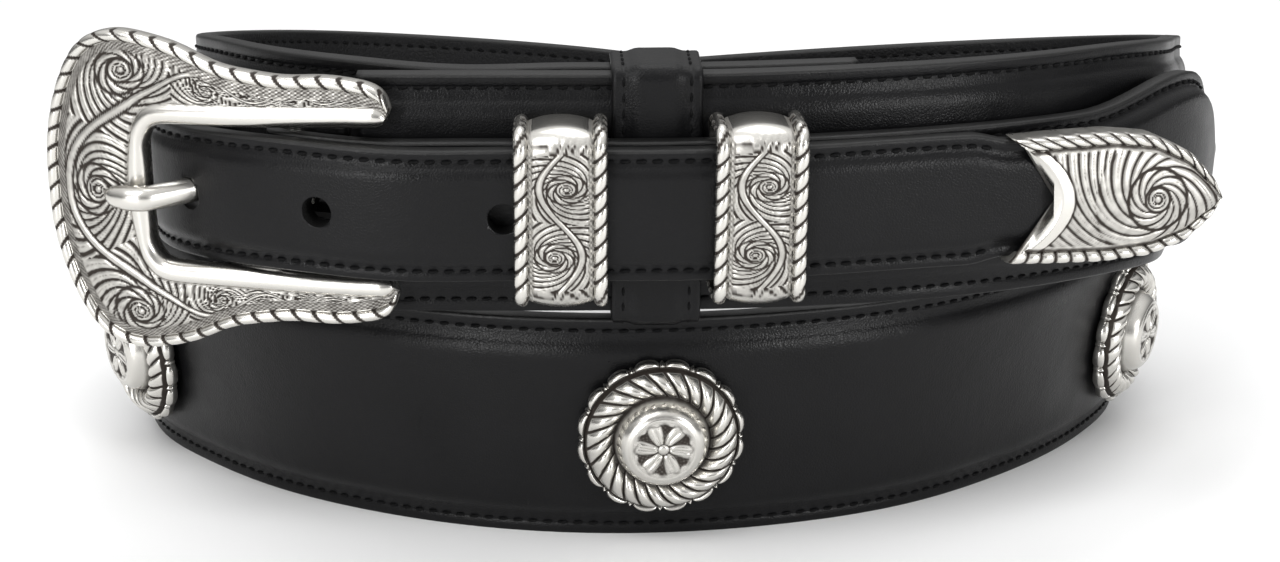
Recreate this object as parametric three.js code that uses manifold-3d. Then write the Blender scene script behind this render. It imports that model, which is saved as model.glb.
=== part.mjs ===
// Ranger belt, buckled and laid as a coil of two turns that stands on its lower edge.
// Millimetres, +Z up. The buckle faces -Y. The origin is under the middle of the belt, on the resting face.
// The strap is followed as a path: from the end behind the buckle to the right, round the back,
// along the lower front turn, round the back again and up to the left end under the buckle.

import * as THREE from 'three';
import Module from 'manifold-3d';
import { mergeVertices } from 'three/addons/utils/BufferGeometryUtils.js';

const wasm = await Module();
wasm.setup();

// The coil and the wide strap
const coilHalfWidth = 83;
const coilHalfDepth = 63.4;
const beltWidth = 35;
const beltThickness = 2.6;
const beltRise = 1;
const beltMargin = 3.4;
const beltSlope = 3;
const beltStep = 8.5;
// The path is sunk by this much, so that the length that rests on the floor is quite flat.
const restSink = 0.05;

// The two narrow straps that buckle up
const strapWidth = 19;
const strapThickness = 2.4;
const strapRise = 0.8;
const strapMargin = 2.2;
const strapSlope = 2.2;
const strapStep = 6;
const strapWrapThickness = 2;
const strapTail = 7;
const baseStart = 100;
const baseLength = 46;
const baseRise = 1.6;
const holeStrapBase = 50;
const holeDiameter = 4.4;
const holePitch = 25.4;
const holeNextGap = 21.2;
const holesBefore = 2;
const holesAfter = 2;
const holeFaces = 12;

// Clearances
const seatGap = 0.3;
const keeperGap = 0.75;
const tongueGap = 0.4;
const loopBackGap = 1;
const conchoGap = 0.6;
const bendGap = 0.5;

// Buckle
const buckleHalfHeight = 23.3;
const buckleLength = 50.6;
const buckleThickness = 3;
const buckleRopeRadius = 0.8;
const buckleRopePitch = 3;
const buckleBezelWidth = 3.2;
const buckleBezelRise = 0.6;
const pivotRadius = 1.4;
const pivotSetback = 3.3;
const pivotReach = 14;
const tongueRadius = 1.6;
const tongueEyeWidth = 3;
const tongueEyeRadius = 3;

// Metal keepers and leather loop
const keeperWidth = 12.8;
const keeperWall = 1;
const keeperRopeRadius = 0.85;
const keeperDome = 1;
const keeperSlack = 2;
const keeperCorner = 2.2;
const keeperLeftPlace = 28;
const keeperRightPlace = 54.2;
const loopPlace = 41.1;
const loopWidth = 12.6;
const loopWall = 1.1;
const loopCorner = 1.4;

// Strap tip
const tipLength = 33;
const tipHalfHeight = 9.4;
const tipWall = 1.2;
const tipSkirt = 3;
const tipNotch = 7.5;
const tipRopeRadius = 0.8;
const tipRopePitch = 2.5;

// Conchos
const conchoRadius = 12.3;
const conchoHeight = 6.2;
const conchoLobes = 16;
const conchoCount = 6;
const conchoSpacing = 93;
const conchoMiddlePlace = 479.5;

// The front of the upper turn, outer layer. Shares of the coil's half width, its half depth and the
// belt's width, then the outward lean in degrees.
// columns: across, back, height of the lower edge, lean
const frontRows = [
  [-0.47, -1.081, 1.038, 6],
  [-0.158, -1.083, 1.038, 6],
  [0.132, -1.067, 1.038, 6],
  [0.355, -1.028, 1.038, 4.5],
];

// The rest of the two turns, with the same columns.
const turnRows = [
  [0.542, -0.955, 1.034, 3],
  [0.714, -0.828, 1.022, 1.5],
  [0.853, -0.669, 1, 0],
  [0.943, -0.5, 0.963, 0],
  [0.991, -0.302, 0.909, 0],
  [1.037, -0.052, 0.844, 0],
  [1.075, 0.19, 0.769, 0],
  [1.05, 0.46, 0.688, 0],
  [0.92, 0.73, 0.594, 0],
  [0.711, 0.879, 0.525, 0],
  [0.421, 0.974, 0.456, 0],
  [0.105, 1.003, 0.394, 0],
  [-0.184, 1, 0.331, 0],
  [-0.474, 0.948, 0.25, 0],
  [-0.763, 0.793, 0.144, 1],
  [-0.941, 0.552, 0.044, 2],
  [-1.003, 0.276, 0, 3],
  [-0.984, 0.017, 0, 4],
  [-0.921, -0.233, 0, 6],
  [-0.816, -0.431, 0, 8],
  [-0.683, -0.619, 0, 9],
  [-0.504, -0.788, 0, 9],
  [-0.284, -0.914, 0, 9],
  [-0.018, -0.96, 0, 9],
  [0.247, -0.898, 0, 9],
  [0.468, -0.766, 0, 9],
  [0.649, -0.567, 0, 9],
  [0.782, -0.366, 0, 8],
  [0.879, -0.164, 0, 6],
  [0.951, 0.069, 0, 4],
  [0.955, 0.31, 0.006, 3],
  [0.882, 0.545, 0.075, 2],
  [0.725, 0.705, 0.181, 1],
  [0.5, 0.769, 0.3, 0],
  [0.237, 0.772, 0.406, 0],
  [-0.026, 0.752, 0.506, 0],
  [-0.289, 0.707, 0.581, 0],
  [-0.513, 0.616, 0.644, 0],
  [-0.678, 0.448, 0.713, 0],
  [-0.783, 0.207, 0.787, 0],
  [-0.826, -0.052, 0.859, 0],
  [-0.821, -0.319, 0.931, 0],
  [-0.745, -0.569, 0.991, 1],
  [-0.626, -0.764, 1.022, 4],
  [-0.447, -0.917, 1.034, 6],
  [-0.276, -1.012, 1.038, 6],
];

// Where the hole strap swings from the left bend to the front, and its free run to the right.
// columns: across, back, height of the strap's middle, lean
const strapSwingRows = [
  [-0.867, -0.638, 1.475, 1],
  [-0.842, -0.836, 1.496, 2],
  [-0.792, -0.99, 1.512, 3],
  [-0.715, -1.095, 1.519, 4],
  [-0.579, -1.194, 1.52, 5],
];
const strapRunRows = [
  [0.684, -1.09, 1.515, 4],
  [0.868, -1.02, 1.505, 3],
  [0.987, -0.972, 1.48, 3],
];

// The middle surface of the buckle's plate, with the same columns. The second last row is the pivot.
const buckleRows = [
  [-0.996, -0.999, 1.53, 4],
  [-0.816, -1.084, 1.528, 5],
  [-0.584, -1.152, 1.525, 6],
  [-0.421, -1.186, 1.525, 6],
];
const bucklePivotRow = 2;

// Outline of the buckle's upper half, from the end of the arm to the middle of the front bar.
// Along the plate from the pivot, as shares of the buckle's length, and up, as shares of its half height.
// columns: outer along, outer up, inner along, inner up
const buckleRowsUp = [
  [0.272, 0.56, 0.27, 0.5],
  [0.25, 0.67, 0.252, 0.468],
  [0.188, 0.725, 0.188, 0.463],
  [0.099, 0.76, 0.099, 0.459],
  [0, 0.768, 0, 0.453],
  [-0.099, 0.79, -0.099, 0.446],
  [-0.188, 0.828, -0.178, 0.442],
  [-0.296, 0.927, -0.277, 0.438],
  [-0.395, 0.983, -0.348, 0.433],
  [-0.494, 1, -0.387, 0.403],
  [-0.583, 0.927, -0.409, 0.326],
  [-0.652, 0.738, -0.413, 0.24],
  [-0.703, 0.455, -0.413, 0.146],
  [-0.725, 0.18, -0.413, 0.056],
];

// The sewn base at the end of each narrow strap.
// columns: along, as a share of the base's length, half width, as a share of the belt's width
const baseRows = [
  [0, 0.271],
  [0.11, 0.28],
  [0.26, 0.323],
  [0.41, 0.371],
  [0.57, 0.389],
  [0.7, 0.36],
  [0.83, 0.271],
  [0.93, 0.157],
  [1, 0.043],
];

// Outline of the strap tip. columns: share of the length, share of the half height
const tipRows = [
  [0, 0.95],
  [0.2, 0.98],
  [0.45, 1],
  [0.66, 0.93],
  [0.83, 0.7],
  [0.955, 0.32],
  [1, 0.05],
];

// Turned form of a concho. columns: share of the radius, share of the height, depth of the lobes
const conchoRows = [
  [0.95, 0, 0.05],
  [0.95, 0.24, 0.05],
  [0.9, 0.3, 0],
  [0.76, 0.55, 0.03],
  [0.57, 0.42, 0],
  [0.52, 0.8, 0],
  [0.36, 1, 0],
];

const leatherBlack = { color: 0x1b1b1d, roughness: 0.42, metalness: 0 };
const silverPale = { color: 0xcfccc4, roughness: 0.32, metalness: 1 };

function leather() {
  return new THREE.MeshStandardMaterial(leatherBlack);
}

function silver() {
  return new THREE.MeshStandardMaterial(silverPale);
}

// Second derivatives of a natural cubic spline through values at knots.
function bendingOf(knots, values) {
  const count = knots.length;
  const upper = new Array(count).fill(0);
  const bending = new Array(count).fill(0);
  for (let i = 1; i < count - 1; i++) {
    const before = knots[i] - knots[i - 1];
    const after = knots[i + 1] - knots[i];
    const pivot = 2 * (before + after) - before * upper[i - 1];
    upper[i] = after / pivot;
    const kink = (values[i + 1] - values[i]) / after - (values[i] - values[i - 1]) / before;
    bending[i] = (6 * kink - before * bending[i - 1]) / pivot;
  }
  for (let i = count - 2; i > 0; i--) bending[i] -= upper[i] * bending[i + 1];
  return bending;
}

// A smooth path through rows of x, y, lower edge and lean, measured along the plan.
class Path {
  constructor(rows) {
    this.rows = rows;
    this.knots = [0];
    for (let i = 1; i < rows.length; i++) {
      const step = Math.hypot(rows[i][0] - rows[i - 1][0], rows[i][1] - rows[i - 1][1]);
      this.knots.push(this.knots[i - 1] + step);
    }
    this.length = this.knots[rows.length - 1];
    this.columns = rows[0].map((_, column) => rows.map((row) => row[column]));
    this.bending = this.columns.map((values) => bendingOf(this.knots, values));
  }

  inside(along) {
    let i = 0;
    while (i < this.knots.length - 2 && this.knots[i + 1] < along) i++;
    const span = this.knots[i + 1] - this.knots[i];
    const a = (this.knots[i + 1] - along) / span;
    const b = 1 - a;
    return this.columns.map((values, column) => {
      const bend = this.bending[column];
      const curve = (a ** 3 - a) * bend[i] + (b ** 3 - b) * bend[i + 1];
      return a * values[i] + b * values[i + 1] + (curve * span * span) / 6;
    });
  }

  // Past either end the path runs on straight.
  at(along) {
    const kept = THREE.MathUtils.clamp(along, 0, this.length);
    const here = this.inside(kept);
    if (kept === along) return here;
    const nearby = 0.01;
    const inner = this.inside(kept + Math.sign(kept - along) * nearby);
    const past = Math.abs(along - kept) / nearby;
    return here.map((value, column) => value + (value - inner[column]) * past);
  }

  // The frame of the strap at a place: along it, out of its face and up its width.
  frame(along) {
    const probe = 0.05;
    const before = this.at(along - probe);
    const after = this.at(along + probe);
    const [x, y, bottom, lean] = this.at(along);
    const tangent = new THREE.Vector3(after[0] - before[0], after[1] - before[1], 0).normalize();
    const level = new THREE.Vector3(tangent.y, -tangent.x, 0);
    const angle = THREE.MathUtils.degToRad(lean);
    const vertical = new THREE.Vector3(0, 0, 1);
    const out = level.clone().multiplyScalar(Math.cos(angle)).addScaledVector(vertical, -Math.sin(angle));
    const up = level.clone().multiplyScalar(Math.sin(angle)).addScaledVector(vertical, Math.cos(angle));
    return { origin: new THREE.Vector3(x, y, Math.max(bottom - restSink, 0)), tangent, out, up, lean };
  }

  place(along, height, outward) {
    const { origin, out, up } = this.frame(along);
    return origin.addScaledVector(up, height).addScaledVector(out, outward);
  }

  // A row for another path, at a height and a distance off this one's middle surface.
  rowAt(along, height, outward) {
    const point = this.place(along, height, outward);
    return [point.x, point.y, point.z, this.frame(along).lean];
  }
}

// Straight lines between the rows of a two-column table.
function readTable(rows, key) {
  let i = 0;
  while (i < rows.length - 2 && rows[i + 1][0] < key) i++;
  const share = (key - rows[i][0]) / (rows[i + 1][0] - rows[i][0]);
  return THREE.MathUtils.lerp(rows[i][1], rows[i + 1][1], THREE.MathUtils.clamp(share, 0, 1));
}

// Triangles over one end of a loft, in the order of its ring.
function capOf(ring) {
  const normal = new THREE.Vector3();
  ring.forEach((point, i) => {
    const next = ring[(i + 1) % ring.length];
    normal.add(new THREE.Vector3().crossVectors(point, next));
  });
  normal.normalize();
  const side = new THREE.Vector3().subVectors(ring[1], ring[0]).normalize();
  const other = new THREE.Vector3().crossVectors(normal, side);
  const flat = ring.map((point) => new THREE.Vector2(point.dot(side), point.dot(other)));
  return THREE.ShapeUtils.triangulateShape(flat, []);
}

// A closed solid skinned through rings of points. A closed loft runs back into its first ring.
function loft(rings, closed = false) {
  const size = rings[0].length;
  const positions = rings.flat().flatMap((point) => point.toArray());
  const faces = [];
  const last = closed ? rings.length : rings.length - 1;
  for (let i = 0; i < last; i++) {
    const here = i * size;
    const there = ((i + 1) % rings.length) * size;
    for (let j = 0; j < size; j++) {
      const next = (j + 1) % size;
      faces.push([here + j, here + next, there + next], [here + j, there + next, there + j]);
    }
  }
  if (!closed) {
    const end = (rings.length - 1) * size;
    capOf(rings[0]).forEach(([a, b, c]) => faces.push([a, c, b]));
    capOf(rings[rings.length - 1]).forEach(([a, b, c]) => faces.push([end + a, end + b, end + c]));
  }
  return facingOut(positions, faces);
}

// A geometry whose faces point out of the solid.
function facingOut(positions, faces) {
  const corner = (i) => new THREE.Vector3().fromArray(positions, 3 * i);
  const volume = faces.reduce((sum, [a, b, c]) => sum + corner(a).dot(corner(b).cross(corner(c))), 0);
  const order = volume < 0 ? faces.map(([a, b, c]) => [a, c, b]) : faces;
  const geometry = new THREE.BufferGeometry();
  geometry.setAttribute('position', new THREE.Float32BufferAttribute(positions, 3));
  geometry.setIndex(order.flat());
  return geometry;
}

function toSolid(geometry) {
  const bare = geometry.index ? geometry.toNonIndexed() : geometry.clone();
  bare.deleteAttribute('normal');
  bare.deleteAttribute('uv');
  const merged = mergeVertices(bare, 1e-4);
  const vertProperties = merged.attributes.position.array;
  const triVerts = new Uint32Array(merged.index.array);
  return new wasm.Manifold(new wasm.Mesh({ numProp: 3, vertProperties, triVerts }));
}

function fromSolid(solid) {
  const { vertProperties, triVerts } = solid.getMesh();
  const geometry = new THREE.BufferGeometry();
  geometry.setAttribute('position', new THREE.BufferAttribute(vertProperties, 3));
  geometry.setIndex(new THREE.BufferAttribute(triVerts, 1));
  return geometry;
}

// Lays a flat geometry, x along, y up and z outward, on a path.
function layOn(geometry, path, along, height = 0, outward = 0) {
  const position = geometry.attributes.position;
  for (let i = 0; i < position.count; i++) {
    const x = along + position.getX(i);
    const point = path.place(x, height + position.getY(i), outward + position.getZ(i));
    position.setXYZ(i, point.x, point.y, point.z);
  }
  return geometry;
}

// Sets a stiff piece at one place of a path, without bending it.
function setOn(mesh, path, along, height, outward) {
  const { tangent, out, up } = path.frame(along);
  const basis = new THREE.Matrix4().makeBasis(tangent, up, out);
  mesh.quaternion.setFromRotationMatrix(basis);
  mesh.position.copy(path.place(along, height, outward));
  return mesh;
}

function named(name, geometry, material) {
  const mesh = new THREE.Mesh(geometry, material);
  mesh.name = name;
  return mesh;
}

// Section of a padded strap, as pairs of outward and height: flat at the back, flat stitched margins
// and a raised panel between them.
function paddedSection({ thickness, rise, halfWidth, middle, margin, slope }) {
  const flat = Math.min(margin, halfWidth * 0.4);
  const ramp = Math.min(slope, halfWidth * 0.4);
  const low = middle - halfWidth;
  const high = middle + halfWidth;
  const back = -thickness / 2;
  const face = thickness / 2;
  return [
    [back, low],
    [back, high],
    [face, high],
    [face, high - flat],
    [face + rise, high - flat - ramp],
    [face + rise, low + flat + ramp],
    [face, low + flat],
    [face, low],
  ];
}

// One ring of the wide strap. Its lower edge is level where it rests, so that it stands flat.
function strapRing(path, along, section) {
  const { origin, out } = path.frame(along);
  return section.map(([outward, height]) => {
    const point = path.place(along, height, outward);
    if (height === 0 && origin.z === 0) point.z = 0;
    return point;
  });
}

function stations(start, end, step) {
  const count = Math.ceil((end - start) / step);
  return Array.from({ length: count + 1 }, (_, i) => start + ((end - start) * i) / count);
}

const scaled = ([across, back, height, lean]) => [
  across * coilHalfWidth,
  back * coilHalfDepth,
  height * beltWidth,
  lean,
];

// Where each layer of the buckled front lies, measured out from the middle of the outer belt end.
const beltFace = beltThickness / 2 + beltRise;
const keeperBack = beltFace + seatGap + 0.1;
const buckleStrapMiddle = keeperBack + keeperWall + keeperGap + strapThickness / 2;
const buckleStrapFace = buckleStrapMiddle + strapThickness / 2 + strapRise;
const holeStrapMiddle = buckleStrapFace + bendGap + strapThickness / 2;
const holeStrapFace = holeStrapMiddle + strapThickness / 2 + strapRise;
const keeperFront = holeStrapFace + keeperGap;
const lapDistance = beltThickness + beltRise + seatGap;
const lapPlaces = [26, 40, 55, 70];
const beltMiddle = beltWidth / 2;
const strapHalf = strapWidth / 2;

const frontPath = new Path([...frontRows, turnRows[0], turnRows[1]].map(scaled));

// The left end lies under the right one, a lap distance further in.
function lapRows() {
  return lapPlaces.map((along) => frontPath.rowAt(along, 0, -lapDistance));
}

const beltPath = new Path([...frontRows.map(scaled), ...turnRows.map(scaled), ...lapRows()]);

function beltBody() {
  const section = paddedSection({
    thickness: beltThickness,
    rise: beltRise,
    halfWidth: beltMiddle,
    middle: beltMiddle,
    margin: beltMargin,
    slope: beltSlope,
  });
  const rings = stations(0, beltPath.length, beltStep).map((along) => strapRing(beltPath, along, section));
  return loft(rings);
}

// The buckle's own path: its middle surface, with the pivot at a known place.
const bucklePath = new Path(buckleRows.map(scaled));
const pivotPlace = bucklePath.knots[bucklePivotRow];

// The narrow strap that carries the buckle: it turns back round the pivot bar, runs to the right
// on the outer belt end and widens into its sewn base at the right bend.
function buckleStrap() {
  const { tangent, out, up } = bucklePath.frame(pivotPlace);
  const centre = bucklePath.place(pivotPlace, 0, -pivotSetback);
  const wrap = pivotRadius + 1.5 * seatGap + strapWrapThickness / 2;
  const lean = buckleRows[bucklePivotRow][3];
  const rows = [
    [strapTail, -wrap],
    [strapTail / 2, -wrap],
  ];
  for (let turn = -90; turn >= -270; turn -= 45) {
    const angle = THREE.MathUtils.degToRad(turn);
    rows.push([wrap * Math.cos(angle), wrap * Math.sin(angle)]);
  }
  const wrapRows = rows.map(([along, outward]) => {
    const point = centre.clone().addScaledVector(tangent, along).addScaledVector(out, outward);
    return [point.x, point.y, centre.z, lean * Math.sign(outward) * Math.min(1, Math.abs(outward / wrap))];
  });
  const baseEnd = baseStart + baseLength;
  const seats = stations(beltStep / 2, baseEnd, beltStep);
  const path = new Path([
    ...wrapRows,
    ...seats.map((along) => beltPath.rowAt(along, beltMiddle, buckleStrapMiddle)),
  ]);
  const seatKnot = path.knots[wrapRows.length];
  const baseKnot = seatKnot + (path.length - seatKnot) * ((baseStart - seats[0]) / (baseEnd - seats[0]));
  const halfWidthAt = (along) => {
    const share = (along - baseKnot) / (path.length - baseKnot);
    return share < 0 ? strapHalf : beltWidth * readTable(baseRows, share);
  };
  const riseAt = (along) => {
    const onto = THREE.MathUtils.smoothstep(along, seatKnot - strapTail, seatKnot + strapTail);
    const base = THREE.MathUtils.smoothstep(along, baseKnot, baseKnot + baseLength / 3);
    return THREE.MathUtils.lerp(strapRise * onto, baseRise, base);
  };
  const wrapEnd = path.knots[wrapRows.length - 1];
  const places = [
    ...stations(0, wrapEnd, strapTail / 4),
    ...stations(wrapEnd, baseKnot, strapStep).slice(1),
    ...stations(baseKnot, path.length, strapStep * 0.6).slice(1),
  ];
  const rings = places.map((along) => {
    const thickness = along < seatKnot ? strapWrapThickness : strapThickness;
    const halfWidth = halfWidthAt(along);
    const shape = { thickness, rise: riseAt(along) + 0.02, halfWidth, middle: 0 };
    const section = paddedSection({ ...shape, margin: strapMargin, slope: strapSlope });
    return section.map(([outward, height]) => path.place(along, height, outward));
  });
  const slot = new THREE.BoxGeometry(2 * wrap + strapTail, tongueEyeWidth + 3 * tongueGap, 20);
  slot.translate(-strapTail / 4, 0, 0);
  const slotMesh = setOn(new THREE.Mesh(slot), bucklePath, pivotPlace, 0, -pivotSetback);
  slotMesh.updateMatrix();
  return fromSolid(toSolid(loft(rings)).subtract(toSolid(slot.applyMatrix4(slotMesh.matrix))));
}

// The narrow strap with the holes: sewn on at the left bend, it swings to the front behind the front
// bar, comes up through the buckle, passes the keepers and runs on straight to its metal tip.
const leftBendPlace = beltPath.knots[frontRows.length + turnRows.length - 5];
const holeStrapPath = new Path([
  ...stations(leftBendPlace - holeStrapBase, leftBendPlace, holeStrapBase / 6).map((along) =>
    beltPath.rowAt(along, beltMiddle, beltFace + bendGap + strapThickness / 2),
  ),
  ...strapSwingRows.map(scaled),
  ...[6, 20, 34, 48, 62, 76].map((along) => beltPath.rowAt(along, beltMiddle, holeStrapMiddle)),
  ...strapRunRows.map(scaled),
]);
const tipPlace = holeStrapPath.length - tipLength;

function holeStrap() {
  const innerHalf = (along) => {
    const share = (along - tipPlace) / tipLength;
    const outer = tipHalfHeight * readTable(tipRows, share);
    return Math.max(outer - tipWall - 2 * seatGap, 0.5);
  };
  const halfWidthAt = (along) => {
    if (along > tipPlace - 0.5) return Math.min(innerHalf(along), strapHalf);
    if (along < baseLength) return beltWidth * readTable(baseRows, 1 - along / baseLength);
    return strapHalf;
  };
  const riseAt = (along) => {
    const base = 1 - THREE.MathUtils.smoothstep(along, baseLength * 0.66, baseLength);
    return THREE.MathUtils.lerp(strapRise, baseRise, base);
  };
  const places = [
    ...stations(0, baseLength, strapStep * 0.8),
    ...stations(baseLength, baseLength + 45, strapStep * 0.6).slice(1),
    ...stations(baseLength + 45, tipPlace - 0.6, strapStep).slice(1),
    ...stations(tipPlace - 0.4, tipPlace + 0.9 * tipLength, strapStep * 0.7),
  ];
  const rings = places.map((along) => {
    const shape = { thickness: strapThickness, rise: riseAt(along), halfWidth: halfWidthAt(along), middle: 0 };
    const section = paddedSection({ ...shape, margin: strapMargin, slope: strapSlope });
    return section.map(([outward, height]) => holeStrapPath.place(along, height, outward));
  });
  let solid = toSolid(loft(rings));
  const usedHole = nearestPlace(holeStrapPath, bucklePath.place(pivotPlace - usedHoleReach, 0, 0));
  for (let i = -holesBefore; i <= holesAfter; i++) {
    const along = usedHole + i * holePitch + (i > 0 ? holeNextGap - holePitch : 0);
    const depth = 4 * strapThickness;
    const punch = new THREE.CylinderGeometry(holeDiameter / 2, holeDiameter / 2, depth, holeFaces);
    punch.rotateX(Math.PI / 2);
    const tool = setOn(new THREE.Mesh(punch), holeStrapPath, along, 0, 0);
    tool.updateMatrix();
    solid = solid.subtract(toSolid(punch.applyMatrix4(tool.matrix)));
  }
  return fromSolid(solid.subtract(toSolid(tongueForm(tongueGap))));
}

// The place of a path that is nearest to a point.
function nearestPlace(path, point) {
  const distance = (along) => path.place(along, 0, 0).distanceTo(point);
  return stations(0, path.length, 0.5).reduce((best, along) => (distance(along) < distance(best) ? along : best));
}

// Rope relief: the twist lifts one side of each strand and drops the other.
function strand(along, pitch, phase) {
  return Math.cos(2 * Math.PI * (along / pitch + phase));
}

// The cast frame: an engraved plate that is open at its right end, with a rope border outside,
// a plain bezel round the window and the pivot bar across its arms.
function buckle() {
  const lower = buckleRowsUp.map(([outerAlong, outerUp, innerAlong, innerUp]) => [
    outerAlong,
    -outerUp,
    innerAlong,
    -innerUp,
  ]);
  const middleRow = [-0.727, 0, -0.413, 0];
  const outline = [...buckleRowsUp, middleRow, ...lower.reverse()].map(([oa, ou, ia, iu]) => [
    oa * buckleLength,
    ou * buckleHalfHeight,
    ia * buckleLength,
    iu * buckleHalfHeight,
  ]);
  const curve = new Path(outline);
  const half = buckleThickness / 2;
  const rings = stations(0, curve.length, buckleRopePitch / 2).map((along) => {
    const [ox, oy, ix, iy] = curve.at(along);
    const outer = new THREE.Vector2(ox, oy);
    const inner = new THREE.Vector2(ix, iy);
    const width = outer.distanceTo(inner);
    const scale = Math.min(1, width / (2 * buckleRopeRadius + buckleBezelWidth + 1));
    const rope = buckleRopeRadius * scale;
    const bezel = buckleBezelWidth * scale;
    const wave = 0.3 * rope * strand(along, buckleRopePitch, 0);
    const shape = [
      [0.4 * rope, -half],
      [-wave, 0],
      [0.5 * rope, half + wave],
      [1.5 * rope, half + wave],
      [2.1 * rope, half - 0.4],
      [width - bezel - 0.3 * scale, half - 0.4],
      [width - bezel, half + buckleBezelRise],
      [width - 0.4 * scale, half + buckleBezelRise],
      [width, half * 0.3],
      [width - 0.3 * scale, -half],
    ];
    return shape.map(([inward, lift]) => {
      const point = outer.clone().lerp(inner, inward / width);
      return new THREE.Vector3(point.x, point.y, lift);
    });
  });
  const bar = new THREE.CylinderGeometry(pivotRadius, pivotRadius, 2 * pivotReach, 10);
  bar.translate(0, 0, -pivotSetback);
  const posts = [-1, 1].map((side) => {
    const post = new THREE.BoxGeometry(2 * pivotRadius, 2 * pivotRadius, pivotSetback);
    return post.translate(0, side * (pivotReach - pivotRadius), -pivotSetback / 2);
  });
  const solid = posts.reduce((sum, post) => sum.add(toSolid(post)), toSolid(loft(rings)).add(toSolid(bar)));
  return layOn(fromSolid(solid), bucklePath, pivotPlace);
}

// The tongue: an eye on the pivot bar and a bent shaft that lies on the front bar.
// columns: along from the pivot, outward, share of the full radius
const tongueRows = [
  [-0.5, -pivotSetback - 0.2, 0.9],
  [-8, -3.2, 1],
  [-14.6, -2.7, 1],
  [-17.2, 0.5, 1],
  [-20.2, 3.95, 1],
  [-22.4, 4.15, 1],
  [-24.6, 3.9, 0.85],
  [-26.3, 2.6, 0.45],
];
const usedHoleReach = 16.8;

function tongueForm(extra) {
  const faces = 8;
  const rings = tongueRows.map(([x, z, share], i) => {
    const before = tongueRows[Math.max(i - 1, 0)];
    const after = tongueRows[Math.min(i + 1, tongueRows.length - 1)];
    const slope = Math.atan2(after[1] - before[1], after[0] - before[0]);
    const radius = tongueRadius * share + extra;
    return Array.from({ length: faces }, (_, j) => {
      const turn = (2 * Math.PI * (j + 0.5)) / faces;
      const up = radius * Math.cos(turn);
      const off = radius * Math.sin(turn);
      return new THREE.Vector3(x - off * Math.sin(slope), up, z + off * Math.cos(slope));
    });
  });
  const eye = new THREE.CylinderGeometry(tongueEyeRadius + extra, tongueEyeRadius + extra, tongueEyeWidth + 2 * extra, 16);
  const bore = new THREE.CylinderGeometry(pivotRadius + seatGap, pivotRadius + seatGap, tongueEyeWidth * 3, 16);
  eye.translate(0, 0, -pivotSetback);
  bore.translate(0, 0, -pivotSetback);
  const solid = toSolid(loft(rings)).add(toSolid(eye)).subtract(toSolid(bore));
  return layOn(fromSolid(solid), bucklePath, pivotPlace);
}

// Points round a rounded rectangle in the y-z plane, with the outward direction at each.
// It starts at the lower end of the front side and goes up.
function roundedLoop(halfHeight, back, front, corner, frontSteps) {
  const points = [];
  const straight = halfHeight - corner;
  for (let i = 0; i < frontSteps; i++) {
    points.push([-straight + (2 * straight * i) / frontSteps, front, 0, 1]);
  }
  const corners = [
    [straight, front - corner, 0],
    [straight, back + corner, 90],
    [-straight, back + corner, 180],
    [-straight, front - corner, 270],
  ];
  for (const [y, z, start] of corners) {
    for (let turn = 0; turn <= 90; turn += 30) {
      const angle = THREE.MathUtils.degToRad(start + turn);
      points.push([y + corner * Math.sin(angle), z + corner * Math.cos(angle), Math.sin(angle), Math.cos(angle)]);
    }
  }
  points.pop();
  return points;
}

// A metal keeper: a flat band round both narrow straps, with a rope along each edge and a
// domed face between them.
function keeper() {
  const halfHeight = strapHalf + keeperSlack + keeperWall;
  const inner = roundedLoop(halfHeight - keeperWall, keeperBack + keeperWall, keeperFront, keeperCorner - keeperWall * 0.5, 14);
  const half = keeperWidth / 2;
  const rings = inner.map(([y, z, outY, outZ], i) => {
    const shown = outZ < -0.5 ? 0 : 1;
    const wall = keeperWall;
    const wave = 0.3 * keeperRopeRadius * (i % 2 === 0 ? 1 : -1);
    const rope = wall + shown * (keeperRopeRadius + wave);
    const lift = wall + shown * 0.2;
    const dome = wall + shown * keeperDome;
    const ropeWidth = 2 * keeperRopeRadius;
    const shape = [
      [-half, 0],
      [half, 0],
      [half, lift],
      [half - 0.5 * ropeWidth, rope],
      [half - ropeWidth, lift],
      [0, dome],
      [-half + ropeWidth, lift],
      [-half + 0.5 * ropeWidth, rope],
      [-half, lift],
    ];
    return shape.map(([x, off]) => new THREE.Vector3(x, y + off * outY, z + off * outZ));
  });
  return loft(rings, true);
}

// The leather loop that holds the two belt ends together behind the narrow straps.
function leatherLoop() {
  const inner = roundedLoop(
    beltMiddle + seatGap,
    -lapDistance - beltThickness / 2 - loopBackGap,
    beltFace + seatGap,
    loopCorner - loopWall,
    1,
  );
  const half = loopWidth / 2;
  const rings = inner.map(([y, z, outY, outZ]) =>
    [
      [-half, 0],
      [half, 0],
      [half, loopWall * 0.8],
      [0, loopWall],
      [-half, loopWall * 0.8],
    ].map(([x, off]) => new THREE.Vector3(x, y + off * outY, z + off * outZ)),
  );
  return loft(rings, true);
}

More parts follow.
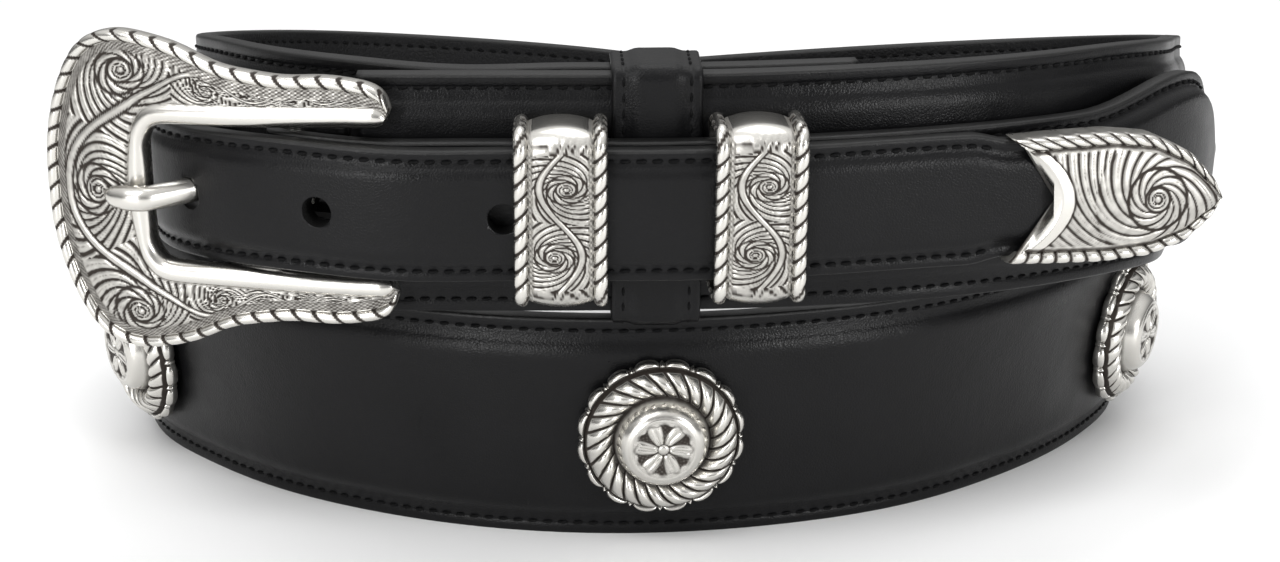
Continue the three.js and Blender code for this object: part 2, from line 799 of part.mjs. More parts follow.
// The metal tip: a cap over the strap's pointed end, with a hollow left edge and a rope border.
function strapTip() {
  const count = Math.round((2 * tipLength) / tipRopePitch);
  const rings = Array.from({ length: count + 1 }, (_, i) => {
    const share = i / count;
    const half = tipHalfHeight * readTable(tipRows, share);
    const fit = Math.min(1, half / (4 * tipRopeRadius + 1));
    const wave = 0.3 * tipRopeRadius * (i % 2 === 0 ? 1 : -1);
    const rope = tipRopeRadius * fit;
    const wall = tipWall * fit;
    const crest = tipWall + 0.5 + (0.3 + wave) * fit;
    const shape = [
      [-half, -tipSkirt],
      [-half, tipWall * 0.6],
      [-half + rope, crest],
      [-half + 2 * rope, tipWall],
      [0, tipWall + 0.7 * fit],
      [half - 2 * rope, tipWall],
      [half - rope, crest],
      [half, tipWall * 0.6],
      [half, -tipSkirt],
      [half - wall, -tipSkirt],
      [half - wall, 0],
      [0, 0],
      [-half + wall, 0],
      [-half + wall, -tipSkirt],
    ];
    return shape.map(([y, z]) => {
      const hollow = 1 - (y / tipHalfHeight) ** 2;
      const x = tipLength * share + tipNotch * hollow * (1 - share) ** 2;
      return new THREE.Vector3(x, y, z);
    });
  });
  return layOn(loft(rings), holeStrapPath, tipPlace, 0, strapThickness / 2 + strapRise + seatGap);
}

// A concho: a scalloped base, a ring of slanted strands and a stepped dome.
function concho() {
  const faces = 2 * conchoLobes;
  const rings = conchoRows.map(([radius, height, lobe]) =>
    Array.from({ length: faces }, (_, i) => {
      const turn = (2 * Math.PI * i) / faces;
      const swell = lobe * (i % 2 === 0 ? 1 : -1);
      const reach = conchoRadius * (radius + swell);
      return new THREE.Vector3(reach * Math.cos(turn), reach * Math.sin(turn), conchoHeight * height);
    }),
  );
  return loft(rings);
}

function conchoPlaces() {
  return Array.from(
    { length: conchoCount },
    (_, i) => conchoMiddlePlace + (i - (conchoCount - 1) / 2) * conchoSpacing,
  );
}

const belt = new THREE.Group();
belt.add(named('belt_body', beltBody(), leather()));
belt.add(named('buckle_strap', buckleStrap(), leather()));
belt.add(named('hole_strap', holeStrap(), leather()));
belt.add(named('buckle', buckle(), silver()));
belt.add(named('tongue', tongueForm(0), silver()));
belt.add(named('strap_tip', strapTip(), silver()));

const keeperPlaces = { keeper_left: keeperLeftPlace, keeper_right: keeperRightPlace };
for (const [name, along] of Object.entries(keeperPlaces)) {
  belt.add(setOn(named(name, keeper(), silver()), beltPath, along, beltMiddle, 0));
}
belt.add(setOn(named('leather_loop', leatherLoop(), leather()), beltPath, loopPlace, beltMiddle, 0));
conchoPlaces().forEach((along, i) => {
  const piece = named(`concho_${i + 1}`, concho(), silver());
  belt.add(setOn(piece, beltPath, along, beltMiddle, beltFace + conchoGap));
});

const extent = new THREE.Box3().setFromObject(belt, true);
const middle = extent.getCenter(new THREE.Vector3());
belt.position.set(-middle.x, -middle.y, 0);

export default belt;
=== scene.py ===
"""Looks of the coiled ranger belt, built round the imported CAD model.

Lengths are in millimetres until a mesh is made. A path is measured along its plan.
"""

import math

import bpy
import numpy as np
from mathutils import Matrix, Vector


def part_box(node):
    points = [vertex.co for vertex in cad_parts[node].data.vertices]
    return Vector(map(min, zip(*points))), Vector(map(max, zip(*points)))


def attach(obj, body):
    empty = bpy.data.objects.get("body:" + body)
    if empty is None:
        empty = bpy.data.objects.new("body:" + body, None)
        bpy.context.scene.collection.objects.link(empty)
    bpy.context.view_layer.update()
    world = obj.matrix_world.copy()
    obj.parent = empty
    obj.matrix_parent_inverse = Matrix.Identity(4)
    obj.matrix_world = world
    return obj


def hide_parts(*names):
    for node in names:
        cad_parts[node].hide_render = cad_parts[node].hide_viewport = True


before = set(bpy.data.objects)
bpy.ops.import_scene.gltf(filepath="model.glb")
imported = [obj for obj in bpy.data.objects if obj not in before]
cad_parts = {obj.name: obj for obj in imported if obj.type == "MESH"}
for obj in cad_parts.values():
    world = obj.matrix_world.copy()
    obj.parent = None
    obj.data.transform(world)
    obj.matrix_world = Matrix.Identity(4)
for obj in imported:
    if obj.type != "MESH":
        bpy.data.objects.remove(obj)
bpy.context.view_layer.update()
MM = 0.001

# Sizes that the looks share with the CAD solids
HALF_WIDTH, HALF_DEPTH = 83, 63.4
BELT_WIDTH, BELT_THICKNESS, BELT_RISE = 35, 2.6, 1.0
BELT_MARGIN, BELT_SLOPE, BELT_STEP = 3.4, 3.0, 8.5
STRAP_WIDTH, STRAP_THICKNESS, STRAP_RISE = 19, 2.4, 0.8
STRAP_MARGIN, STRAP_SLOPE = 2.2, 2.2
WRAP_THICKNESS, STRAP_TAIL = 2.0, 7
BASE_START, BASE_LENGTH, BASE_RISE, HOLE_STRAP_BASE = 100, 46, 1.6, 50
HOLE_RADIUS, HOLE_PITCH, NEXT_HOLE_GAP, HOLES_BEFORE, HOLES_AFTER = 2.2, 25.4, 21.2, 2, 2
USED_HOLE_REACH = 16.8
SINK, SEAT_GAP, KEEPER_GAP, TONGUE_GAP = 0.05, 0.3, 0.75, 0.4
CONCHO_GAP, BEND_GAP, WRAP_GAP = 0.6, 0.5, 0.45
KEEPER_BACK, KEEPER_WALL, KEEPER_WIDTH, KEEPER_SLACK = 2.7, 1, 12.8, 2
KEEPER_LEFT_PLACE, KEEPER_RIGHT_PLACE = 28, 54.2
LAP, LOOP_PLACE, LOOP_HALF_WIDTH = 3.9, 41.1, 6.3
BUCKLE_LENGTH, BUCKLE_HALF, BUCKLE_THICK, BUCKLE_BEZEL = 50.6, 23.3, 3.0, 3.2
PIVOT_RADIUS, PIVOT_SETBACK = 1.4, 3.3
TONGUE_RADIUS, TONGUE_EYE_WIDTH = 1.6, 3
TIP_LENGTH, TIP_HALF, TIP_WALL, TIP_SKIRT, TIP_NOTCH = 33, 9.4, 1.2, 3.0, 7.5
CONCHO_RADIUS, CONCHO_LOBES, CONCHO_COUNT = 12.3, 16, 6
CONCHO_SPACING, CONCHO_MIDDLE_PLACE = 93, 479.5
BELT_MIDDLE = BELT_WIDTH / 2
BUCKLE_STRAP_MIDDLE = KEEPER_BACK + KEEPER_WALL + KEEPER_GAP + STRAP_THICKNESS / 2
HOLE_STRAP_MIDDLE = BUCKLE_STRAP_MIDDLE + STRAP_THICKNESS + STRAP_RISE + BEND_GAP
KEEPER_FRONT = HOLE_STRAP_MIDDLE + STRAP_THICKNESS / 2 + STRAP_RISE + KEEPER_GAP

# Sizes of the looks alone
BELT_GROOVE, STRAP_GROOVE, STITCH_PITCH = 1.9, 1.584, 2.2
BUCKLE_ROPE_RADIUS, BUCKLE_ROPE_PITCH = 0.85, 3.0
KEEPER_ROPE_RADIUS, KEEPER_ROPE_PITCH, KEEPER_CORNER = 0.95, 2.5, 1.7
TIP_ROPE_RADIUS, TIP_ROPE_PITCH = 0.85, 2.5

# Rows of the paths: shares of the half width, half depth and belt width, then the lean in degrees
FRONT = [
    (-0.47, -1.081, 1.038, 6),
    (-0.158, -1.083, 1.038, 6),
    (0.132, -1.067, 1.038, 6),
    (0.355, -1.028, 1.038, 4.5),
]
TURNS = [
    (0.542, -0.955, 1.034, 3),
    (0.714, -0.828, 1.022, 1.5),
    (0.853, -0.669, 1, 0),
    (0.943, -0.5, 0.963, 0),
    (0.991, -0.302, 0.909, 0),
    (1.037, -0.052, 0.844, 0),
    (1.075, 0.19, 0.769, 0),
    (1.05, 0.46, 0.688, 0),
    (0.92, 0.73, 0.594, 0),
    (0.711, 0.879, 0.525, 0),
    (0.421, 0.974, 0.456, 0),
    (0.105, 1.003, 0.394, 0),
    (-0.184, 1, 0.331, 0),
    (-0.474, 0.948, 0.25, 0),
    (-0.763, 0.793, 0.144, 1),
    (-0.941, 0.552, 0.044, 2),
    (-1.003, 0.276, 0, 3),
    (-0.984, 0.017, 0, 4),
    (-0.921, -0.233, 0, 6),
    (-0.816, -0.431, 0, 8),
    (-0.683, -0.619, 0, 9),
    (-0.504, -0.788, 0, 9),
    (-0.284, -0.914, 0, 9),
    (-0.018, -0.96, 0, 9),
    (0.247, -0.898, 0, 9),
    (0.468, -0.766, 0, 9),
    (0.649, -0.567, 0, 9),
    (0.782, -0.366, 0, 8),
    (0.879, -0.164, 0, 6),
    (0.951, 0.069, 0, 4),
    (0.955, 0.31, 0.006, 3),
    (0.882, 0.545, 0.075, 2),
    (0.725, 0.705, 0.181, 1),
    (0.5, 0.769, 0.3, 0),
    (0.237, 0.772, 0.406, 0),
    (-0.026, 0.752, 0.506, 0),
    (-0.289, 0.707, 0.581, 0),
    (-0.513, 0.616, 0.644, 0),
    (-0.678, 0.448, 0.713, 0),
    (-0.783, 0.207, 0.787, 0),
    (-0.826, -0.052, 0.859, 0),
    (-0.821, -0.319, 0.931, 0),
    (-0.745, -0.569, 0.991, 1),
    (-0.626, -0.764, 1.022, 4),
    (-0.447, -0.917, 1.034, 6),
    (-0.276, -1.012, 1.038, 6),
]
SWING = [
    (-0.867, -0.638, 1.475, 1),
    (-0.842, -0.836, 1.496, 2),
    (-0.792, -0.99, 1.512, 3),
    (-0.715, -1.095, 1.519, 4),
    (-0.579, -1.194, 1.52, 5),
]
RUN = [
    (0.684, -1.09, 1.515, 4),
    (0.868, -1.02, 1.505, 3),
    (0.987, -0.972, 1.48, 3),
]
BUCKLE = [
    (-0.996, -0.999, 1.53, 4),
    (-0.816, -1.084, 1.528, 5),
    (-0.584, -1.152, 1.525, 6),
    (-0.421, -1.186, 1.525, 6),
]
BASE = [
    (0, 0.271),
    (0.11, 0.28),
    (0.26, 0.323),
    (0.41, 0.371),
    (0.57, 0.389),
    (0.7, 0.36),
    (0.83, 0.271),
    (0.93, 0.157),
    (1, 0.043),
]


def scaled(row):
    return (row[0] * HALF_WIDTH, row[1] * HALF_DEPTH, row[2] * BELT_WIDTH, row[3])


class Path:
    """A natural cubic spline through rows, measured along their first two columns, x and y."""

    def __init__(self, rows):
        self.rows = np.array(rows, float)
        steps = np.hypot(*np.diff(self.rows[:, :2], axis=0).T)
        self.knots = np.concatenate([[0], np.cumsum(steps)])
        self.length = self.knots[-1]
        n = len(rows)
        a = np.zeros((n, n))
        b = np.zeros((n, self.rows.shape[1]))
        a[0, 0] = a[-1, -1] = 1
        for i in range(1, n - 1):
            h0, h1 = steps[i - 1], steps[i]
            a[i, i - 1 : i + 2] = h0, 2 * (h0 + h1), h1
            b[i] = 6 * ((self.rows[i + 1] - self.rows[i]) / h1 - (self.rows[i] - self.rows[i - 1]) / h0)
        self.bend = np.linalg.solve(a, b)

    def inside(self, s):
        """The rows at places between the path's ends."""
        i = np.clip(np.searchsorted(self.knots, s, side="left") - 1, 0, len(self.knots) - 2)
        span = self.knots[i + 1] - self.knots[i]
        a = (self.knots[i + 1] - s) / span
        b = 1 - a
        a, b, span = a[:, None], b[:, None], span[:, None]
        curve = (a**3 - a) * self.bend[i] + (b**3 - b) * self.bend[i + 1]
        return a * self.rows[i] + b * self.rows[i + 1] + curve * span * span / 6

    def at(self, s):
        """The rows at any places, carried straight on past the ends."""
        s = np.atleast_1d(np.asarray(s, float))
        kept = np.clip(s, 0, self.length)
        here = self.inside(kept)
        off = s - kept
        nearby = 0.01
        inner = self.inside(kept - np.sign(off) * nearby)
        return here + (here - inner) * (np.abs(off) / nearby)[:, None]

    def frame(self, s):
        """Origins on the lower edge, with unit vectors along the path, outward and up the leaning strap."""
        s = np.atleast_1d(np.asarray(s, float))
        here = self.at(s)
        nearby = 0.05
        step = self.at(s + nearby)[:, :2] - self.at(s - nearby)[:, :2]
        step /= np.linalg.norm(step, axis=1)[:, None]
        tangent = np.column_stack([step, np.zeros(len(s))])
        level = tangent[:, [1, 0, 2]] * [1, -1, 1]
        lean = np.radians(here[:, 3])[:, None]
        up = np.array([0, 0, 1.0])
        out = level * np.cos(lean) - up * np.sin(lean)
        rise = level * np.sin(lean) + up * np.cos(lean)
        origin = here[:, :3].copy()
        origin[:, 2] = np.maximum(origin[:, 2] - SINK, 0)
        return origin, tangent, out, rise

    def place(self, s, height, outward):
        origin, _, out, up = self.frame(s)
        return origin + up * np.atleast_1d(height)[:, None] + out * np.atleast_1d(outward)[:, None]

    def row_at(self, s, height, outward):
        """A row for another path, beside a place of this one."""
        p = self.place(s, height, outward)[0]
        return (p[0], p[1], p[2], float(self.at(s)[0, 3]))


def stations(start, end, step):
    """Even places from start to end, no further apart than step."""
    count = max(1, math.ceil((end - start) / step))
    return np.linspace(start, end, count + 1)


front_path = Path([scaled(r) for r in FRONT + TURNS[:2]])
LAP_PLACES = (26, 40, 55, 70)
belt_path = Path([scaled(r) for r in FRONT + TURNS] + [front_path.row_at(s, 0, -LAP) for s in LAP_PLACES])
buckle_path = Path([scaled(r) for r in BUCKLE])
PIVOT = buckle_path.knots[2]

# The hole strap starts on the wide strap at the left bend, swings out to the buckle and runs over the front
LEFT_BEND = belt_path.knots[len(FRONT) + len(TURNS) - 5]
SEWN_OUT = BELT_THICKNESS / 2 + BELT_RISE + BEND_GAP + STRAP_THICKNESS / 2
SEWN_PLACES = stations(LEFT_BEND - HOLE_STRAP_BASE, LEFT_BEND, HOLE_STRAP_BASE / 6)
FRONT_PLACES = (6, 20, 34, 48, 62, 76)
hole_path = Path(
    [belt_path.row_at(s, BELT_MIDDLE, SEWN_OUT) for s in SEWN_PLACES]
    + [scaled(r) for r in SWING]
    + [belt_path.row_at(s, BELT_MIDDLE, HOLE_STRAP_MIDDLE) for s in FRONT_PLACES]
    + [scaled(r) for r in RUN]
)
TIP_PLACE = hole_path.length - TIP_LENGTH


def frame_shift():
    """How far the CAD's box was moved, found from the wide strap's own box."""
    origin, _, out, up = belt_path.frame(stations(0, belt_path.length, BELT_STEP))
    back, face = -BELT_THICKNESS / 2, BELT_THICKNESS / 2
    corners = [(back, 0), (back, BELT_WIDTH)]
    for depth, lift in ((0, 0), (BELT_MARGIN, 0), (BELT_MARGIN + BELT_SLOPE, BELT_RISE)):
        corners += [(face + lift, depth), (face + lift, BELT_WIDTH - depth)]
    points = np.concatenate([origin + up * height + out * outward for outward, height in corners])
    low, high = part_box("belt_body")
    mine = (points.min(0) + points.max(0)) / 2
    cad = (np.array(low) + np.array(high)) / 2 / MM
    return np.array([cad[0] - mine[0], cad[1] - mine[1], 0])


SHIFT = frame_shift()


def linked(name, data):
    made = bpy.data.objects.new(name, data)
    bpy.context.collection.objects.link(made)
    return made


def finish_mesh(name, points, quads, materials, smooth=True, recess=None, slots=None):
    """A mesh in metres in the row frame, from points in millimetres on the path."""
    mesh = bpy.data.meshes.new(name)
    mesh.from_pydata(((points + SHIFT) * MM).tolist(), [], [tuple(q) for q in quads])
    for m in materials:
        mesh.materials.append(m)
    if slots is not None:
        mesh.polygons.foreach_set("material_index", np.asarray(slots, np.int32))
    mesh.polygons.foreach_set("use_smooth", np.full(len(mesh.polygons), smooth))
    if recess is not None:
        attribute = mesh.attributes.new("recess", "FLOAT", "POINT")
        attribute.data.foreach_set("value", np.broadcast_to(np.ravel(recess), len(points)).astype(np.float32))
    mesh.update()
    return linked(name, mesh)


def grid_quads(rows, columns, closed=False):
    """The faces between closed rings, with the last ring joined to the first where closed."""
    r, c = np.meshgrid(np.arange(rows if closed else rows - 1), np.arange(columns), indexing="ij")
    r2, c2 = (r + 1) % rows, (c + 1) % columns
    quads = np.stack([r * columns + c, r * columns + c2, r2 * columns + c2, r2 * columns + c], -1)
    return quads.reshape(-1, 4)


def tube_faces(rows, columns):
    """The faces of a closed tube of rings, with a cap at each end."""
    low = tuple(range(columns - 1, -1, -1))
    high = tuple((rows - 1) * columns + i for i in range(columns))
    return grid_quads(rows, columns).tolist() + [low, high]


def circle(faces):
    return np.linspace(0, 2 * math.pi, faces, endpoint=False)


def walked(points):
    """The length walked from the first point to each point of a line."""
    return np.concatenate([[0], np.cumsum(np.linalg.norm(np.diff(points, axis=0), axis=1))])


def smoothstep(x, low, high):
    t = np.clip((x - low) / (high - low), 0, 1)
    return t * t * (3 - 2 * t)


def peak(x, wide):
    """A soft peak of height 1 at x = 0."""
    return np.exp(-((x / wide) ** 2))


# Materials


def material(name):
    m = bpy.data.materials.new(name)
    m.use_nodes = True
    return m, m.node_tree, m.node_tree.nodes["Principled BSDF"]


def node(tree, kind, inputs, **settings):
    """A node with its settings, and constants on its sockets."""
    made = tree.nodes.new(kind)
    for key, value in settings.items():
        setattr(made, key, value)
    for key, value in inputs.items():
        made.inputs[key].default_value = value
    return made


def ranged(tree, value, start, stop, low, high, **settings):
    """Maps a value from start and stop to low and high."""
    limits = {"From Min": start, "From Max": stop, "To Min": low, "To Max": high}
    made = node(tree, "ShaderNodeMapRange", limits, **settings)
    tree.links.new(value, made.inputs["Value"])
    return made.outputs["Result"]


def blended(tree, share, a, b):
    """A colour from a to b."""
    made = node(tree, "ShaderNodeMix", {}, data_type="RGBA")
    made.inputs["A"].default_value = (*a, 1)
    made.inputs["B"].default_value = (*b, 1)
    tree.links.new(share, made.inputs["Factor"])
    return made.outputs["Result"]


def noise(tree, position, scale, detail):
    made = node(tree, "ShaderNodeTexNoise", {"Scale": scale, "Detail": detail})
    tree.links.new(position, made.inputs["Vector"])
    return made


def bumped(tree, height, strength, distance):
    made = node(tree, "ShaderNodeBump", {"Strength": strength, "Distance": distance})
    tree.links.new(height, made.inputs["Height"])
    return made


def leather_material(name, base, rough, grain, grain_size, shine):
    """Leather with a fine grain of cells on a broad unevenness."""
    m, tree, shader = material(name)
    link = tree.links.new
    position = node(tree, "ShaderNodeNewGeometry", {}).outputs["Position"]
    size = grain_size * MM
    bend = noise(tree, position, 0.35 / size, 3)
    mix = node(tree, "ShaderNodeVectorMath", {1: (size * 0.8,) * 3}, operation="MULTIPLY_ADD")
    link(bend.outputs["Color"], mix.inputs[0])
    link(position, mix.inputs[2])
    cells = node(tree, "ShaderNodeTexVoronoi", {"Scale": 1 / size}, feature="DISTANCE_TO_EDGE")
    link(mix.outputs["Vector"], cells.inputs["Vector"])
    round_cells = ranged(tree, cells.outputs["Distance"], 0, 0.28, 0, 1)
    broad = noise(tree, position, 90, 4).outputs["Fac"]
    fine_bump = bumped(tree, round_cells, grain, 0.00008)
    broad_bump = bumped(tree, broad, 0.35, 0.0005)
    link(broad_bump.outputs["Normal"], fine_bump.inputs["Normal"])
    link(fine_bump.outputs["Normal"], shader.inputs["Normal"])
    link(ranged(tree, broad, 0.3, 0.7, rough - 0.06, rough + 0.08), shader.inputs["Roughness"])
    darker, lighter = [c * 0.8 for c in base], [c * 1.25 for c in base]
    link(blended(tree, broad, darker, lighter), shader.inputs["Base Color"])
    shader.inputs["Specular IOR Level"].default_value = shine
    return m


def metal_material(name, base, rough, dark_base):
    """Silver that is dark and dull where the mesh's recess value is high."""
    m, tree, shader = material(name)
    link = tree.links.new
    position = node(tree, "ShaderNodeNewGeometry", {}).outputs["Position"]
    recess = node(tree, "ShaderNodeAttribute", {}, attribute_name="recess")
    cloud = noise(tree, position, 700, 5).outputs["Fac"]
    drift = node(tree, "ShaderNodeMath", {1: 0.35, 2: -0.175}, operation="MULTIPLY_ADD")
    link(cloud, drift.inputs[0])
    worn = node(tree, "ShaderNodeMath", {}, operation="ADD", use_clamp=True)
    link(recess.outputs["Fac"], worn.inputs[0])
    link(drift.outputs["Value"], worn.inputs[1])
    dark = ranged(tree, worn.outputs["Value"], 0.18, 0.85, 0, 1, interpolation_type="SMOOTHSTEP")
    link(blended(tree, dark, base, dark_base), shader.inputs["Base Color"])
    link(ranged(tree, dark, 0, 1, rough, 0.65), shader.inputs["Roughness"])
    link(ranged(tree, dark, 0, 1, 1, 0.5), shader.inputs["Metallic"])
    link(bumped(tree, cloud, 0.25, 0.00006).outputs["Normal"], shader.inputs["Normal"])
    return m


BLACK = leather_material("black_leather", (0.004, 0.004, 0.0044), 0.33, 0.25, 0.45, 0.15)
BLACK_EDGE = leather_material("black_edge", (0.006, 0.006, 0.006), 0.42, 0.3, 0.3, 0.3)
LINING = leather_material("black_lining", (0.009, 0.009, 0.0095), 0.55, 0.7, 0.8, 0.2)
THREAD = leather_material("black_thread", (0.003, 0.003, 0.0033), 0.6, 0.8, 0.12, 0.12)
SILVER = metal_material("antique_silver", (0.6, 0.585, 0.55), 0.26, (0.022, 0.016, 0.012))


def ride(obj, slot_name, *nodes):
    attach(obj, "root")
    if nodes:
        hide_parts(*nodes)
    return obj


# Padded straps


def strap_section(half, thickness, rise, margin, slope):
    """Rows of outward, height and stitch dip round a padded strap, and the material slot of each row."""
    margin = min(margin, half * 0.4)
    slope = min(slope, half * 0.4)
    t = thickness / 2
    edge = min(0.45, t * 0.4)
    inner = half - margin
    groove = margin * (BELT_GROOVE / BELT_MARGIN if margin > STRAP_MARGIN else STRAP_GROOVE / STRAP_MARGIN)
    heights = np.concatenate([
        np.linspace(half - edge, half - groove + 0.5, 3),
        half - groove + np.array([0.25, 0, -0.25, -0.5]),
        np.linspace(inner, inner - slope, 7),
        np.linspace(inner - slope, 0, 10)[1:],
    ])
    depth = half - heights
    x = np.clip((depth - margin) / slope, 0, 1)
    lift = rise * (1 - (1 - x) ** 2.4)
    crown = 0.12 * rise * (1 - (heights / max(inner, 0.1)) ** 2) * (x > 0)
    upper = np.stack([t + lift + crown, heights, -0.22 * peak(depth - groove, 0.32)], 1)
    face = np.concatenate([upper, upper[::-1][1:] * [1, -1, 1]])
    arc = np.radians([0, 30, 60, 90])

    def corner(side, sign):
        round_out = side * (t - edge + edge * np.sin(arc))
        return np.stack([round_out, sign * (half - edge + edge * np.cos(arc)), 0 * arc], 1)

    off = np.array([-0.4, 0, 0.4])
    pressed = 0.15 * peak(off, 0.3)
    plain = np.linspace(-half + groove + 1, half - groove - 1, 7)
    back_heights = np.concatenate([off - half + groove, plain, off + half - groove])
    back = np.stack([0 * back_heights - t, back_heights, np.concatenate([pressed, 0 * plain, pressed])], 1)
    low = np.concatenate([corner(1, -1)[::-1][1:], corner(-1, -1)])
    high = np.concatenate([corner(-1, 1)[::-1], corner(1, 1)[:-1]])
    slots = np.repeat([0, 1, 2, 1], [len(face), len(low), len(back), len(high)])
    return np.concatenate([face, low, back, high]), slots


def strap_mesh(name, path, places, half_at, rise_at, thickness_at, margin, slope, wavy, seed=0, middle=0.0):
    """A padded strap on a path, with its stitch holes pressed in along both margins."""
    origin, _, out, up = path.frame(places)
    rings = []
    for i, s in enumerate(places):
        section, slots = strap_section(half_at(s), thickness_at(s), rise_at(s), margin, slope)
        pull = 1.05 + 0.45 * math.cos(2 * math.pi * s / STITCH_PITCH)
        face = section[:, 0] > thickness_at(s) / 2
        waves = wavy * (math.sin(s * 0.31 + seed) + math.sin(s * 0.117 + 2 * seed)) * face
        outward = section[:, 0] + section[:, 2] * pull + waves
        ring = origin[i] + up[i] * (section[:, 1] + middle)[:, None] + out[i] * outward[:, None]
        if origin[i][2] == 0:
            ring[:, 2] = np.maximum(ring[:, 2], 0)
        rings.append(ring)
    parts = np.tile(slots, len(rings) - 1).tolist() + [1, 1]
    faces = tube_faces(len(rings), len(slots))
    return finish_mesh(name, np.concatenate(rings), faces, [BLACK, BLACK_EDGE, LINING], slots=parts)


CAPSULE = [(-0.5, 0.25), (-0.36, 0.85), (0, 1), (0.36, 0.85), (0.5, 0.25)]


def stitches(name, rows, radius=0.27, length=1.55):
    """Thread: one small capsule for each stitch. A row holds a point, a direction and the face's normal."""
    turns = circle(6)[:, None]
    unit = grid_quads(len(CAPSULE), len(turns))
    points, quads = [], []
    for i, (centre, along, normal) in enumerate(rows):
        round_out = np.cos(turns) * np.cross(along, normal) + np.sin(turns) * normal
        for share, wide in CAPSULE:
            sag = -0.22 * (2 * share) ** 2
            points.append(centre + along * (share * length) + normal * sag + round_out * radius * wide)
        quads.append(unit + i * len(CAPSULE) * len(turns))
    return finish_mesh(name, np.concatenate(points), np.concatenate(quads), [THREAD])


def stitch_rows(path, start, end, height_at, outward, facing=1):
    """Stitches along a path at a height that is a function of the place, each a little slanted."""
    rows = []
    for s in np.arange(start + STITCH_PITCH / 2, end, STITCH_PITCH):
        a = path.place(s - 0.2, height_at(s - 0.2), outward)[0]
        b = path.place(s + 0.2, height_at(s + 0.2), outward)[0]
        _, _, out, up = path.frame(s)
        along = (b - a) / np.linalg.norm(b - a) + up[0] * 0.1
        rows.append(((a + b) / 2, along / np.linalg.norm(along), out[0] * facing))
    return rows


def constant(value):
    return lambda s: value


def cut(target, cutter):
    """Takes one mesh out of another and keeps the result."""
    modifier = target.modifiers.new("cut", "BOOLEAN")
    modifier.operation = "DIFFERENCE"
    modifier.solver = "EXACT"
    modifier.object = cutter
    graph = bpy.context.evaluated_depsgraph_get()
    made = bpy.data.meshes.new_from_object(target.evaluated_get(graph))
    target.modifiers.clear()
    target.data = made
    bpy.data.objects.remove(cutter)


def placed(obj, path, s, height, outward):
    """Sets a stiff piece, modelled with x along, y up and z outward, at one place of a path."""
    _, tangent, out, up = path.frame(s)
    at = (path.place(s, height, outward)[0] + SHIFT) * MM
    turn = Matrix([tangent[0], up[0], out[0]]).transposed().to_4x4()
    obj.data.transform(Matrix.Translation(Vector(at)) @ turn)
    return obj


def wide_strap():
    places = stations(0, belt_path.length, STITCH_PITCH / 2)
    sizes = constant(BELT_MIDDLE), constant(BELT_RISE), constant(BELT_THICKNESS), BELT_MARGIN, BELT_SLOPE
    obj = strap_mesh("wide_strap", belt_path, places, *sizes, wavy=0.02, middle=BELT_MIDDLE)
    ride(obj, "black_leather", "belt_body")
    rows = []
    for height in (BELT_GROOVE, BELT_WIDTH - BELT_GROOVE):
        for facing, sunk in ((1, 0.02), (-1, 0.12)):
            outward = facing * (BELT_THICKNESS / 2 - sunk)
            rows += stitch_rows(belt_path, 0.8, belt_path.length - 0.8, constant(height), outward, facing)
    ride(stitches("wide_strap_thread", rows), "black_leather")


def narrow_thread(name, path, start, end, half_at):
    """Stitches along both edges of a narrow strap."""
    rows = stitch_rows(path, start, end, lambda s: STRAP_GROOVE - half_at(s), STRAP_THICKNESS / 2)
    rows += stitch_rows(path, start, end, lambda s: half_at(s) - STRAP_GROOVE, STRAP_THICKNESS / 2)
    ride(stitches(name, rows), "black_leather")


def smooth_base(share):
    """A sewn base's half height at a share of its length, with the corners of its table rounded."""
    shares, halves = zip(*BASE)
    return BELT_WIDTH * float(np.interp(share + np.array([-0.05, 0, 0.05]), shares, halves).mean())


def box(x, y, z):
    """The corners and faces of a box round the origin."""
    corners = [(i * x, j * y, k * z) for i in (-1, 1) for j in (-1, 1) for k in (-1, 1)]
    faces = [(0, 1, 3, 2), (4, 6, 7, 5), (0, 4, 5, 1), (2, 3, 7, 6), (0, 2, 6, 4), (1, 5, 7, 3)]
    return np.array(corners) / 2, faces


